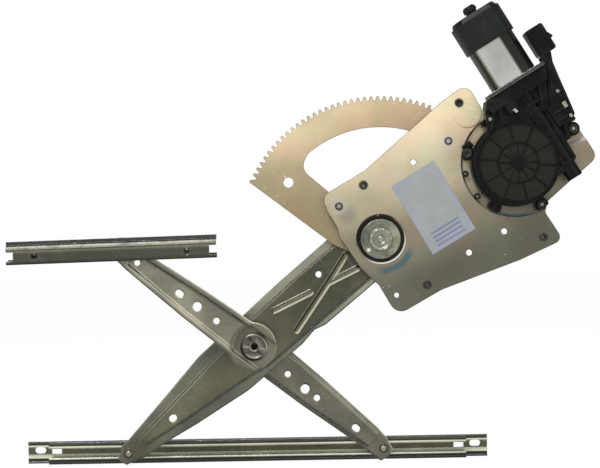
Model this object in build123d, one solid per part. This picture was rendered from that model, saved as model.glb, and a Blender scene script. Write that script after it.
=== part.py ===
"""Electric cross-arm window regulator for a car door, one solid per real piece.

The mechanism lies in the XZ plane with +Z the way the glass rises, and -Y is the cabin
side. Depths are counted rearward along +Y from the cabin face of the base plate. The
pieces are drawn about the main pivot and then moved so that the locating clinch nut
beside the pivot is the origin.
"""
import math
import os

from build123d import *

os.makedirs("parts", exist_ok=True)

# Places in the mechanism plane, from the main pivot
locating_nut_x, locating_nut_z = -16.6, 54.1
arm_half = 167.0
rest_angle = 39.5
equalizer_bend = 2.3
motor_heading = 121.3

# Gearing
module = 2.1167
sector_teeth = 134
pinion_teeth = 12
pinion_direction = 28.43
pressure_angle = math.radians(20.0)
backlash = 0.30
sector_addendum = 0.80 * module
pinion_addendum = 1.00 * module
dedendum = 1.25 * module
wheel_teeth = 73
worm_offset = 41.0

# Sheet thicknesses
plate_sheet = 1.6
sector_sheet = 2.5
arm_sheet = 2.0
equalizer_sheet = 2.0
rail_sheet = 1.5

# Depth stack behind the base plate's cabin face
running_gap = 0.10
dish_depth = 4.4
recess_depth = 4.0
washer_sheet = 1.0
arm_press_depth = 7.0
bush_flange = 0.9

# Pivots
pivot_radius = 8.0
pivot_clearance = 0.06
bush_wall = 2.0
bush_flange_radius = 16.0

# Rollers and their pins
roller_radius = 8.0
roller_width = 6.0
spindle_radius = 3.0
pin_radius = 4.0
pin_head_radius = 5.0
pin_head = 2.0
roller_side_gap = 0.3

# Glass channel and fixed rail
channel_length = 469.0
channel_left = -362.4
channel_height = 22.0
channel_depth = 12.0
channel_slot = 9.4
channel_front = 24.7
channel_tab = 22.5
channel_tab_depth = 3.0
glass_slot_inset, glass_slot_rise = 12.6, 2.3
glass_window_inset, glass_window_rise = 29.2, 1.0
fixed_rail_left = -372.3
fixed_rail_length = 208.2
fixed_rail_height = 23.0
fixed_rail_depth = 13.0
fixed_rail_rear = -5.0
fixed_rail_drop = 0.6

# Threads of the fixings
nut_thread_radius = 2.5
nut_body_radius = 5.5
nut_shank_radius = 4.0
nut_floor = 1.0
nut_body_height = 4.6

# Depths that follow from the stack
dish_rear = dish_depth + plate_sheet
sector_front = dish_rear + washer_sheet + running_gap
arm_front = sector_front + sector_sheet
arm_web_rear = arm_front + arm_sheet
arm_rim_rear = arm_front + arm_press_depth
front_disc_rear = arm_front - bush_flange - running_gap
rear_disc_front = arm_web_rear + bush_flange + running_gap

centre_distance = (sector_teeth + pinion_teeth) * module / 2
drive_x = centre_distance * math.cos(math.radians(pinion_direction))
drive_z = centre_distance * math.sin(math.radians(pinion_direction))
scissor_x = -arm_half * math.cos(math.radians(rest_angle))
scissor_z = -arm_half * math.sin(math.radians(rest_angle))
channel_z = 2 * scissor_z


def drawing_frame(x, z, heading=0.0):
    """Drawing plane at a point of the mechanism, its first axis turned to a heading."""
    turn = math.radians(heading)
    return Plane((x, 0, z), x_dir=(math.cos(turn), 0, math.sin(turn)), z_dir=(0, -1, 0)).location


door = drawing_frame(0, 0)
along_lift_arm = drawing_frame(0, 0, 180 + rest_angle)
along_front_half = drawing_frame(scissor_x, scissor_z, 180 - rest_angle + equalizer_bend)
along_rear_half = drawing_frame(scissor_x, scissor_z, -rest_angle)
gearbox = drawing_frame(drive_x, drive_z, motor_heading)
rail_lean = equalizer_bend / 2
along_fixed_rail = drawing_frame(0, 0, rail_lean)
lift_tip = (2 * arm_half, 0)
half_tip = (arm_half, 0)


def outline(*corners):
    """Closed flat shape through corners, each rounded by its third number if it has one."""
    points = [corner[:2] for corner in corners]
    radii = [corner[2] if len(corner) > 2 else 0 for corner in corners]
    if any(radii):
        return make_face(FilletPolyline(*points, radius=radii, close=True))
    return make_face(Polyline(*points, close=True))


def slab(shape, front, rear):
    """Flat shape made solid between two depths."""
    return Pos(0, 0, -rear) * extrude(shape, rear - front)


def raised(shape, base, height, draft):
    """Flat shape raised toward the cabin from a depth, its walls leaning inward."""
    return Pos(0, 0, -base) * extrude(shape, height, taper=draft)


def sunk(shape, base, depth, draft):
    """Flat shape sunk rearward from a depth, its walls leaning inward."""
    return Pos(0, 0, -base) * extrude(shape, depth, dir=(0, 0, -1), taper=draft)


def turned(*profile):
    """Solid of revolution about the drawing origin, from (radius, depth) points."""
    wire = Polyline(*[(radius, 0, -depth) for radius, depth in profile], close=True)
    return revolve(make_face(wire), Axis.Z)


def press_dish(sheet_part, floor_radius, rim_radius, rim_open, floor_open, sheet, bore):
    """Press a round dish into a sheet, from the depth of its open side to its floor's."""
    back = math.copysign(sheet, floor_open - rim_open)
    hollow = turned(
        (0, rim_open - back), (rim_radius, rim_open - back), (rim_radius, rim_open),
        (floor_radius, floor_open), (0, floor_open),
    )
    shell = turned(
        (0, floor_open), (floor_radius, floor_open), (rim_radius, rim_open),
        (rim_radius, rim_open + back), (floor_radius, floor_open + back), (0, floor_open + back),
    )
    low, high = sorted((rim_open - back, floor_open + 2 * back))
    return (sheet_part - hollow) + shell - slab(Circle(bore), low, high)


def hole(x, z, radius):
    """Round cut-out for a sheet, at a place in its drawing frame."""
    return Pos(x, z) * Circle(radius)


def tooth_half_angle(radius, teeth, size):
    """Half the angle that an involute tooth takes up at a radius."""
    pitch_radius = teeth * size / 2
    base_radius = pitch_radius * math.cos(pressure_angle)
    unwound = math.acos(min(1.0, base_radius / radius))
    at_pitch = math.pi / (2 * teeth) - backlash / (4 * pitch_radius)
    involute = math.tan(pressure_angle) - pressure_angle - (math.tan(unwound) - unwound)
    return at_pitch + involute


def tooth_points(middle, radii, teeth, size):
    """Points of one tooth from its falling to its rising flank, about an angle."""
    falling = [(radius, middle + tooth_half_angle(radius, teeth, size)) for radius in radii]
    rising = [(radius, middle - tooth_half_angle(radius, teeth, size)) for radius in reversed(radii)]
    return [(r * math.cos(a), r * math.sin(a)) for r, a in falling + rising]


def save(name, *solids):
    """Move a node's solids to the locating nut and write them."""
    shift = Pos(-locating_nut_x, 0, -locating_nut_z)
    moved = [shift * solid for piece in solids for solid in piece.solids()]
    export_step(Compound(children=moved) if len(moved) > 1 else moved[0], f"parts/{name}.step")


# Base plate: one zinc plated pressing that carries the pivot and the gearbox
plate_outline = [
    (-58.5, 43.5, 9), (-14.5, 69.2, 30), (61.4, 134.9, 30), (88.5, 154.2, 10), (106.2, 122.5, 8),
    (103.0, 112.0), (199.9, 108.0), (218.0, 78.4, 9), (168.0, 35.0, 8), (164.6, 24.0, 5),
    (182.2, -3.8, 7), (138.6, -23.4, 40), (60.1, -51.7, 40), (14.8, -76.9, 12), (-2.6, -46.6, 4),
    (-20.5, -29.0, 30), (-41.2, 2.0, 10), (-43.6, 12.5, 8), (-52.6, 27.0, 15),
]
plate_holes = [(33.6, 76.3, 2.9), (123.3, 5.5, 3.0), (87.8, -15.1, 3.0), (14.6, -56.4, 2.5)]
nut_places = [(80.4, 134.6), (locating_nut_x, locating_nut_z), (45.5, -46.7), (162.5, -1.0)]
pad_places = [(69.0, 96.8), (-41.5, 33.4)]
side_screw_place = (-1.3, -66.1)
motor_screw_places = [(34.0, 36.0), (-48.5, 0.6), side_screw_place]
rest_lug_place = (-25.8, 41.8)
pad_rivet_radius = 4.0
dish_floor_radius, dish_rim_radius = 20.5, 25.0
recess_radius = 54.5
pinion_opening = 17.0
motor_screw_radius = 3.0
recess_draft = 20
recess_run_out = [(135, 73), (166, 35), (176, 33), (196, 57), (183, 86)]
step_draft = 48
recess_step = [(135, 73), (183, 86), (217, 99.5), (205, 125), (110, 130)]
boss_place = (88.2, 124.5)
boss_radius, boss_height = 15.0, 0.9
lug_radius = 7.0


def base_plate():
    """Plate with the pivot dish, the gearbox recess, a corner boss and its holes."""
    blank = outline(*plate_outline)
    to_motor = Pos(drive_x, drive_z) * Rot(0, 0, motor_heading)
    round_recess = hole(drive_x, drive_z, recess_radius) + outline(*recess_run_out)
    recesses = [(round_recess, recess_draft), (outline(*recess_step), step_draft)]
    limit = slab(blank, 0, recess_depth + plate_sheet)
    plate = slab(blank, 0, plate_sheet)
    for form, draft in recesses:
        skin = offset(form, plate_sheet * 0.75)
        plate += sunk(skin, plate_sheet / 2, recess_depth + plate_sheet / 2, draft) & limit
    for form, draft in recesses:
        plate -= sunk(form, 0, recess_depth, draft)
    plate = press_dish(plate, dish_floor_radius, dish_rim_radius, 0, dish_depth, plate_sheet,
                       pivot_radius)
    boss = raised(Circle(boss_radius), 0, boss_height, 40)
    boss -= raised(Circle(boss_radius - 1.2), plate_sheet / 2, boss_height, 40)
    plate += Pos(*boss_place) * boss
    openings = hole(drive_x, drive_z, pinion_opening)
    for x, z, radius in plate_holes:
        openings += hole(x, z, radius)
    for x, z in nut_places:
        openings += hole(x, z, nut_shank_radius)
    for x, z in pad_places:
        openings += hole(x, z, pad_rivet_radius - 1.0)
    for u, v in motor_screw_places:
        openings += to_motor * hole(u, v, motor_screw_radius)
    return door * (plate - slab(openings, -5, 20))


def clinch_nuts():
    """Round closed M6 nuts pressed into the plate, their shanks flush with its cabin face."""
    back = plate_sheet + nut_body_height
    nut = turned(
        (nut_thread_radius, 0), (nut_shank_radius, 0), (nut_shank_radius, plate_sheet),
        (nut_body_radius, plate_sheet), (nut_body_radius, back), (0, back), (0, back - nut_floor),
        (nut_thread_radius, back - nut_floor),
    )
    return [door * Pos(x, z) * nut for x, z in nut_places]


def sector_guide_pads():
    """Riveted pads behind the plate that the sector's face slides on."""
    pad = turned(
        (0, -1.4), (pad_rivet_radius - 1.0, -1.4), (pad_rivet_radius, -0.7), (pad_rivet_radius, 0),
        (pad_rivet_radius - 1.0, 0), (pad_rivet_radius - 1.0, plate_sheet), (7.0, plate_sheet),
        (7.0, sector_front - running_gap), (0, sector_front - running_gap),
    )
    return [door * Pos(x, z) * pad for x, z in pad_places]


# Main pivot: a headed rivet fixed in the dish, with a washer on each side
rivet_head_radius = 12.0
rear_head_radius = 11.0
front_washer_radius = 19.5
rear_washer_radius = 13.0
pivot_rear = arm_web_rear + running_gap + washer_sheet


def main_pivot_rivet():
    """Shouldered rivet from the dish through the sector and the lift arm, its head hollowed."""
    head_rear = dish_depth - 1.2
    return door * turned(
        (0, head_rear - 1.0), (3.5, head_rear - 1.2), (5.0, head_rear - 2.2), (9.0, head_rear - 2.2),
        (rivet_head_radius, head_rear - 0.8), (rivet_head_radius, head_rear), (pivot_radius, head_rear),
        (pivot_radius, pivot_rear), (rear_head_radius, pivot_rear),
        (rear_head_radius - 1.5, pivot_rear + 2.0), (0, pivot_rear + 2.0),
    )


def washer(inner, outer, front, sheet):
    """Flat ring about the drawing origin."""
    return slab(Circle(outer) - Circle(inner), front, front + sheet)


# Sector gear: toothed quarter with its window, riveted to the lift arm
sector_left_angle = math.radians(153.0)
sector_right_angle = math.radians(17.5)
window_radius = 112.5
window_left_angle, window_right_angle = math.radians(129.5), math.radians(56)
window_corner = 12.0
window_side_step = (-7.4412, -14.8078)
arm_rivet_places = [(24.0, 14.0), (24.0, -14.0), (-21.0, 0.0)]
arm_rivet_radius = 3.0


def sector_gear():
    """Sector outline with involute teeth on its rim and the cut-out behind them."""
    pitch_radius = sector_teeth * module / 2
    root = pitch_radius - dedendum
    radii = [root, pitch_radius, pitch_radius + sector_addendum]
    step = 2 * math.pi / sector_teeth
    middle = math.radians(pinion_direction)
    first = math.floor((sector_left_angle - middle) / step)
    last = math.ceil((sector_right_angle - middle) / step)
    corner = math.radians(153.6)
    points = [(-131.0, 59.3), (-129.9, 61.6), (root * math.cos(corner), root * math.sin(corner))]
    for number in range(first, last - 1, -1):
        points += tooth_points(middle + number * step, radii, sector_teeth, module)
    points += [(root * math.cos(sector_right_angle), root * math.sin(sector_right_angle))]
    points += [(44.0, -14.0), (28.0, -31.0), (-2.0, -42.0), (-19.0, -29.0), (-31.0, -12.5), (-47.1, -5.2)]
    window_middle_angle = (window_left_angle + window_right_angle) / 2
    rim = [(window_radius * math.cos(a), window_radius * math.sin(a))
           for a in (window_left_angle, window_middle_angle, window_right_angle)]
    left_side = (rim[0][0] + window_side_step[0], rim[0][1] + window_side_step[1])
    hub_side = Polyline(rim[2], (34.0, 52.0), (-8.0, 60.0), (-46.0, 43.5), left_side, rim[0])
    window = fillet(make_face(ThreePointArc(*rim) + hub_side).vertices(), window_corner)
    sheet = outline(*points) - window - hole(-91.6, 58.3, 5.1)
    sheet -= hole(0, 0, pivot_radius + pivot_clearance)
    blank = door * slab(sheet, sector_front, arm_front)
    for u, v in arm_rivet_places:
        blank -= along_lift_arm * slab(hole(u, v, arm_rivet_radius), sector_front, arm_front)
    return blank


# Lift arm: long hat-section pressing with two stiffening beads
lift_outline = [
    (-38, -20, 8), (-12, -35, 12), (110, -33.2, 90), (218, -28.6, 60), (262, -21.0, 60),
    (325, -10.8, 10), (335, -10.5, 2), (338.5, -6.3, 2), (344, -5.4, 2), (345.5, -0.5, 4),
    (342.8, 7.4, 2), (334, 9.4, 8), (324, 13.2, 4), (298, 15.8, 40), (262, 22.0, 60), (200, 30.0, 60),
    (128, 29.6, 6), (110, 26.8, 6), (98, 30.0, 4), (30, 30.0, 60), (-12, 34, 12), (-38, 18, 8),
]
lift_web = [
    (-30, -14, 6), (-8, -26, 8), (90, -26.4, 90), (156, -23.6, 60), (200, -18.0, 60), (266, -10.6, 60),
    (317, -5.6, 4), (318, 4.6, 4), (277, 10.6, 60), (192, 20.0, 30), (168, 24.4, 30), (-8, 24.0, 8),
    (-30, 13, 6),
]
bead_cross = (69.0, -0.3)
lift_beads = [
    (bead_cross, (124.0, 15.5)), (bead_cross, (37.0, 7.6)), (bead_cross, (37.0, -10.3)),
    ((88.7, -4.6), (128.5, -14.4)),
]
lift_slot_place = (276, 1.6)
bead_width = 7.0
bead_height = 1.6
bead_draft = 55


def bead(start, end, level):
    """Low ridge with round ends between two points, standing out toward the cabin."""
    run = Vector(*end) - Vector(*start)
    middle = Vector(*start) + run / 2
    slot = SlotCenterToCenter(run.length, bead_width, rotation=math.degrees(math.atan2(run.Y, run.X)))
    return raised(Pos(middle.X, middle.Y) * slot, level, bead_height, bead_draft)


def lift_arm():
    """Hat section whose web faces the cabin and whose rim lies behind."""
    rim = slab(outline(*lift_outline), arm_rim_rear - arm_sheet, arm_rim_rear)
    web = outline(*lift_web)
    height = arm_rim_rear - arm_front
    arm = rim + raised(web, arm_rim_rear, height, 12)
    arm -= raised(offset(web, -arm_sheet), arm_rim_rear, height - arm_sheet, 12)
    for start, end in lift_beads:
        arm += bead(start, end, arm_front)
    arm -= slab(hole(0, 0, pivot_radius + pivot_clearance), 0, 30)
    arm -= slab(hole(arm_half, 0, pivot_radius + pivot_clearance + bush_wall), 0, 30)
    arm -= slab(hole(*lift_tip, pin_radius), 0, 30)
    arm -= slab(hole(70.5, -13.5, 3.0), 0, 30)
    arm -= slab(Pos(*lift_slot_place) * SlotOverall(8.4, 6.8), 0, 30)
    for u, v in arm_rivet_places:
        arm -= slab(hole(u, v, arm_rivet_radius), 0, 30)
    return along_lift_arm * arm


def arm_rivets():
    """Rivets that hold the sector to the lift arm, flush with the sector's face."""
    rivet = turned(
        (0, sector_front), (arm_rivet_radius, sector_front), (arm_rivet_radius, arm_web_rear),
        (arm_rivet_radius + 2, arm_web_rear), (arm_rivet_radius + 1, arm_web_rear + 1.8),
        (0, arm_web_rear + 1.8),
    )
    return [along_lift_arm * Pos(u, v) * rivet for u, v in arm_rivet_places]


def scissor_bush():
    """Flanged bush in the lift arm that the equalizer's rivet turns in."""
    inner = pivot_radius + pivot_clearance
    outer = inner + bush_wall
    bush = turned(
        (inner, arm_front - bush_flange), (bush_flange_radius, arm_front - bush_flange),
        (bush_flange_radius, arm_front), (outer, arm_front), (outer, arm_web_rear),
        (bush_flange_radius, arm_web_rear), (bush_flange_radius, arm_web_rear + bush_flange),
        (inner, arm_web_rear + bush_flange),
    )
    return along_lift_arm * Pos(arm_half, 0) * bush


# Equalizer: two pressed half arms on either side of the lift arm, joined by the rivet
front_web_rear = 4.1
front_rim_front = -2.6
rear_web_front = arm_rim_rear + 1.9
rear_rim_rear = rear_web_front + 5.0
scissor_bore = 3.4
half_outline = [
    (0, -20), (76, -17.2, 90), (150, -11.9, 30), (173, -11.6, 3), (176, 0, 6), (174.8, 5.6, 3),
    (162, 10.9, 8), (150, 12.8, 30), (76, 17.6, 90), (0, 20),
]
half_wall = 4.5
half_web_end = 152
half_wall_draft = 20
eye_shift = 2.0
front_eye_radius, front_well_radius, front_well_half = 24.0, 22.5, 16.5
rear_eye_radius, rear_well_radius, rear_well_half = 20.0, 17.2, 14.4
well_draft = 10


def half_arm(eye_radius, well_radius, well_half, rim_open, web_open, disc_open):
    """Half arm pressed from one sheet: a tray along it and a deeper well, open at its end, at its eye.

    Each depth is that of the sheet's open side; the sheet itself lies beyond it.
    """
    sheet = equalizer_sheet
    arm = outline(*half_outline)
    shape = arm + Pos(eye_shift) * Circle(eye_radius)
    tray = offset(arm, -half_wall) & Pos(half_web_end - 100, 0) * Rectangle(200, 80)
    open_end = Pos(-well_radius) * Rectangle(2 * well_radius, 2 * well_radius)
    well = (Circle(well_radius) + open_end) & Rectangle(6 * well_radius, 2 * well_half)
    press = sunk if web_open > rim_open else raised
    pockets = [
        (tray, abs(web_open - rim_open), half_wall_draft), (well, abs(disc_open - rim_open), well_draft)]
    limit = press(shape, rim_open, 30, 0)
    blank = press(shape, rim_open, sheet, 0)
    for pocket, depth, draft in pockets:
        blank += press(offset(pocket, sheet), rim_open, depth + sheet, draft) & limit
    for pocket, depth, draft in pockets:
        blank -= press(pocket, rim_open, depth, draft)
    return blank


def equalizer_front_half():
    """Half arm toward the fixed rail, open toward the cabin."""
    sheet = equalizer_sheet
    eye = (front_eye_radius, front_well_radius, front_well_half)
    arm = half_arm(*eye, front_rim_front, front_web_rear - sheet, front_disc_rear - sheet)
    cut_outs = Sketch() + [hole(0, 0, pivot_radius), hole(144.4, 0.8, 3.0), hole(70.0, 0.6, 4.4)]
    cut_outs += [hole(46.0, 0.8, 3.1), Pos(92, 0.6) * SlotOverall(8.6, 6.4), hole(*half_tip, pin_radius)]
    return along_front_half * (arm - slab(cut_outs, -10, 10))


def equalizer_rear_half():
    """Half arm toward the glass channel, open away from the cabin."""
    sheet = equalizer_sheet
    eye = (rear_eye_radius, rear_well_radius, rear_well_half)
    arm = half_arm(*eye, rear_rim_rear, rear_web_front + sheet, rear_disc_front + sheet)
    cut_outs = Sketch() + [hole(0, 0, pivot_radius), hole(44, -1.1, 3.0), hole(67, -2.0, 4.5)]
    cut_outs += [hole(82, -1.6, 3.1), Pos(132, -1.0) * SlotOverall(8.5, 6.5), hole(*half_tip, pin_radius)]
    return along_rear_half * (arm - slab(cut_outs, 10, 30))


def scissor_rivet():
    """Staked rivet that locks the two halves together through the bush, bored from its head."""
    front = front_disc_rear - equalizer_sheet
    rear = rear_disc_front + equalizer_sheet
    rivet = turned(
        (0, rear - 3.0), (scissor_bore, rear - 3.0), (scissor_bore, front - 1.2), (9.0, front - 1.6),
        (13.0, front - 1.6), (14.0, front - 0.8), (14.0, front), (pivot_radius, front),
        (pivot_radius, rear), (12.0, rear), (11.0, rear + 1.8), (0, rear + 1.8),
    )
    return along_front_half * rivet


# Roller pins and rollers
def roller_pin(plate_front, plate_rear, roller_near):
    """Headed pin: dome, shank in the arm, shoulder, spindle and retaining flange.

    It runs rearward; depths are along the pin, from the dome side of the arm.
    """
    shoulder = roller_near - roller_side_gap
    far = roller_near + roller_width
    return turned(
        (0, plate_front - pin_head), (1.6, plate_front - pin_head), (3.2, plate_front - 1.2),
        (3.6, plate_front - 0.5), (pin_head_radius, plate_front - 0.5), (pin_head_radius, plate_front),
        (pin_radius, plate_front), (pin_radius, shoulder),
        (spindle_radius, shoulder), (spindle_radius, far - 1.7), (4.6, far - 1.7), (4.6, far - 0.3),
        (0, far - 0.3),
    )


def roller(near):
    """Plastic roller, bored for the spindle and counterbored over its flange."""
    far = near + roller_width
    bore = spindle_radius + pivot_clearance
    return turned(
        (bore, near), (roller_radius - 0.8, near), (roller_radius, near + 0.8),
        (roller_radius, far - 0.8), (roller_radius - 0.8, far), (5.2, far), (5.2, far - 2.0),
        (bore, far - 2.0),
    )


channel_roller_near = channel_front + rail_sheet + 0.9
rail_roller_rear = fixed_rail_rear - rail_sheet - 0.7
turn_over = Rot(180, 0, 0)
front_tip_rear = front_rim_front + equalizer_sheet
lift_pin = along_lift_arm * Pos(*lift_tip) * roller_pin(
    arm_rim_rear - arm_sheet, arm_rim_rear, channel_roller_near)
glass_pin = along_rear_half * Pos(*half_tip) * roller_pin(
    rear_rim_rear - equalizer_sheet, rear_rim_rear, channel_roller_near)
rail_pin = along_front_half * Pos(*half_tip) * turn_over * roller_pin(
    -front_tip_rear, -front_rim_front, -rail_roller_rear)
lift_roller = along_lift_arm * Pos(*lift_tip) * roller(channel_roller_near)
glass_roller = along_rear_half * Pos(*half_tip) * roller(channel_roller_near)
rail_roller = along_front_half * Pos(*half_tip) * turn_over * roller(-rail_roller_rear)


# Rails: rolled channels, drawn as a section and run along X
def run_along_x(section, left, length):
    """Section of (depth, height) points, made solid along X."""
    wire = Polyline(*[(left, depth, height) for depth, height in section], close=True)
    return extrude(make_face(wire), length, dir=(1, 0, 0))


def glass_channel():
    """Lipped channel open to the cabin, with plain web tabs and slots at its ends."""
    half, wall, front = channel_height / 2, rail_sheet, channel_front
    rear = front + channel_depth
    lip = channel_slot / 2
    upper = [(front, lip), (front, half), (rear, half)]
    lower = [(rear, -half), (front, -half), (front, -lip), (front + wall, -lip)]
    inner = [(front + wall, wall - half), (rear - wall, wall - half), (rear - wall, half - wall)]
    inner += [(front + wall, half - wall), (front + wall, lip)]
    channel = run_along_x(upper + lower + inner, channel_left, channel_length)
    right = channel_left + channel_length
    tab_cut = Box(channel_tab, 2 * (channel_depth - channel_tab_depth), 2 * channel_height)
    for end in (channel_left + channel_tab / 2, right - channel_tab / 2):
        channel -= Pos(end, front, 0) * tab_cut
    slot_places = (channel_left + glass_slot_inset, right - glass_slot_inset)
    window_places = (channel_left + glass_window_inset, right - glass_window_inset)
    slots = Sketch() + [Pos(x, glass_slot_rise) * SlotOverall(11, 6.5) for x in slot_places]
    slots += [Pos(x, glass_window_rise) * Rectangle(10, 5.5) for x in window_places]
    return Pos(0, 0, channel_z) * (channel - door * slab(slots, rear - 2 * wall, rear + 1))


rail_nut_places = (-344.7, -193.6)
rail_nut_drop = 3.6
rail_notch = (7.0, 9.0)


def fixed_guide_rail():
    """Channel open to the rear, its web stepped back toward the top edge."""
    wall, rear = rail_sheet, fixed_rail_rear
    front = rear - fixed_rail_depth
    top = fixed_rail_height / 2
    lip = 5.0
    outer = [(rear, top - lip), (rear, top), (front + 3.4, top), (front + 2.6, top - 3.5)]
    outer += [(front + 1.4, top - 4.8), (front, top - 8.5), (front, -top), (rear, -top)]
    outer += [(rear, lip - top)]
    inner = [(rear - wall, lip - top), (rear - wall, wall - top), (front + wall, wall - top)]
    inner += [(front + wall, top - 8.9), (front + 2.8, top - 5.6), (front + 4.4, top - wall)]
    inner += [(rear - wall, top - wall), (rear - wall, top - lip)]
    rail = run_along_x(outer + inner, fixed_rail_left, fixed_rail_length)
    width, height = rail_notch
    for end in (fixed_rail_left, fixed_rail_left + fixed_rail_length):
        rail -= Pos(end, front, -rail_nut_drop) * Box(2 * width, 3 * wall, height)
    for x in rail_nut_places:
        rail -= door * Pos(x, -rail_nut_drop) * slab(Circle(nut_shank_radius), front - 1, front + 3)
    return Rot(0, -rail_lean, 0) * Pos(0, 0, -fixed_rail_drop) * rail


def rail_clinch_nuts():
    """Closed M6 nuts pressed into the fixed rail's web from inside."""
    front = fixed_rail_rear - fixed_rail_depth
    shank, back = nut_shank_radius, front + rail_sheet + nut_body_height - 1.0
    nut = turned(
        (nut_thread_radius, front), (shank, front), (shank, front + rail_sheet),
        (nut_body_radius - 0.7, front + rail_sheet), (nut_body_radius - 0.7, back), (0, back),
        (0, back - nut_floor), (nut_thread_radius, back - nut_floor),
    )
    drop = rail_nut_drop + fixed_rail_drop
    return [along_fixed_rail * Pos(x, -drop) * nut for x in rail_nut_places]


# Gearbox and motor, drawn about the output axis with u along the worm toward the motor
worm_depth = -11.0
housing_radius = 42.0
skirt_radius, skirt_shift, skirt_drop = 42.8, (0.6, 2.6), 7.0
cavity_radius = 39.0
cover_radius = 40.5
cover_front = -20.0
first_rib_angle = 17.4
cup_front = -17.5
cup_floor = 1.0
shaft_radius = 6.0
wheel_width = 9.0
worm_radius = 3.2
armature_shaft_radius = 4.0
worm_tube_radius = 10.0
worm_nose_radius = 8.0
worm_bore_radius = 5.4
worm_tube_end = -43.0
wheel_end_u = -26.0
nose_wall = 2.5
collar_front = worm_depth - 17
shoulder_front = worm_depth - 8
shoulder_ribs = [((38, 8), (56, -6)), ((36, -6), (56, -12)), ((36, -50), (56, -58))]
shoulder_screw_place = (50.8, 0.2)
rib_width = 2.0
lug_height = 8.0
lug_gap = 0.6
flange_u = 68.0
flange_sheet = 3.5
can_end_u = 114.6
cap_end_u = 144.0


def along_worm(shape, start, length, draft=0):
    """Section drawn across the worm axis, run along it and narrowed by a draft."""
    turn_to_axis = Pos(start, -worm_offset, -worm_depth) * Rot(0, 90, 0) * Rot(0, 0, 90)
    return turn_to_axis * extrude(shape, length, taper=draft)


def flat_sided(radius, half_thickness):
    """Circle across the motor with flats toward and away from the cabin."""
    return Circle(radius) & Rectangle(2 * radius, 2 * half_thickness)


def eased(solid, size):
    """Solid with the edges of its cabin face chamfered."""
    return chamfer(solid.faces().sort_by(Axis.Z)[-1].edges(), size)


def gear_housing():
    """Cup for the worm wheel, worm tube, ribbed shoulder with its collar, three lugs."""
    seat = recess_depth
    housing = slab(Circle(housing_radius), cup_front, seat)
    housing += slab(Pos(*skirt_shift) * Circle(skirt_radius), cup_front + skirt_drop, seat)
    housing += along_worm(Circle(worm_tube_radius), wheel_end_u, flange_u - wheel_end_u)
    housing += along_worm(Circle(worm_nose_radius), worm_tube_end, wheel_end_u - worm_tube_end)
    shoulder = outline(
        (30, 20), (46, 7.2), (52, 5, 2), (62, -0.5, 2), (flange_u, -5.5), (flange_u, -74), (30, -55))
    housing += slab(shoulder, shoulder_front, -0.2)
    collar = outline(
        (54, -3, 2), (62, -0.5, 2), (flange_u, -5.5), (flange_u, -74), (54, -67, 3))
    housing += eased(slab(collar, collar_front, worm_depth + 14.5), 1.2)
    block = outline((44, -17.5, 2), (56, -17.5), (56, -30), (44, -30, 2))
    housing += eased(slab(block, collar_front + 2.5, shoulder_front + 1), 1.0)
    for start, end in shoulder_ribs:
        housing += slab(trace(Line(start, end), rib_width), shoulder_front - 5.5, shoulder_front + 1)
    side = outline((30, -20), (30, -52), (-26, -52, 3), (-31, -44, 3), (-34, -20))
    housing += slab(side, worm_depth - 6, -0.2)
    screw_boss = hole(*shoulder_screw_place, 5.0)
    housing += eased(slab(screw_boss, shoulder_front - 4, -0.2), 0.8)
    reach = Circle(recess_radius - recess_depth * math.tan(math.radians(recess_draft)) - lug_gap)
    reach += hole(*side_screw_place, 2 * lug_radius)
    for u, v in [*motor_screw_places, rest_lug_place]:
        web = Pos(0.86 * u, 0.86 * v) * Rot(0, 0, math.degrees(math.atan2(v, u)))
        lug = hole(u, v, lug_radius) + web * Rectangle(16, 1.7 * lug_radius)
        housing += slab(lug & reach, seat - lug_height, seat)
        housing += slab(web * Rectangle(16, rib_width) & reach, seat - lug_height - 4, seat)
    for u, v in motor_screw_places:
        housing -= slab(hole(u, v, lug_radius - 0.6), cup_front, seat - lug_height)
    housing -= slab(Circle(cover_radius + 0.3), cup_front - 20, cup_front)
    housing -= slab(Circle(cavity_radius), cup_front, cup_floor)
    housing -= along_worm(Circle(worm_bore_radius), worm_tube_end + nose_wall, flange_u - worm_tube_end)
    housing -= along_worm(flat_sided(20, 14), commutator_u - 0.6, 30)
    housing += slab(Circle(14), cup_floor, seat + 1.8)
    housing -= slab(Circle(shaft_radius + pivot_clearance), -40, 20)
    for u, v in motor_screw_places:
        housing -= slab(hole(u, v, motor_screw_radius), -40, 20)
    return gearbox * housing


def gear_cover():
    """Ribbed disc that closes the wheel's cup."""
    cover = slab(Circle(cover_radius), cover_front + 1.2, cup_front)
    cover += slab(Circle(cover_radius) - Circle(37.5), cover_front, cup_front)
    cover += slab(Circle(21) - Circle(19), cover_front, cup_front)
    hub = Rot(0, 0, 22) * Rectangle(13, 13)
    cover += eased(slab(hub, cover_front - 0.8, cup_front), 0.6)
    outer = Sketch() + [
        Rot(0, 0, first_rib_angle + 36 * n) * Pos(29.2, 0) * Rectangle(18, 1.6) for n in range(10)]
    inner = Sketch() + [Rot(0, 0, 30 * n) * Pos(13, 0) * Rectangle(13, 1.2) for n in range(12)]
    return gearbox * (cover + slab(outer, cover_front + 0.2, cup_front)
                      + slab(inner, cover_front + 0.4, cup_front))


def cover_seal():
    """Rubber ring in the cup's mouth under the cover."""
    return gearbox * washer(cavity_radius - 1.4, cavity_radius, cup_front, 1.2)


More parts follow.
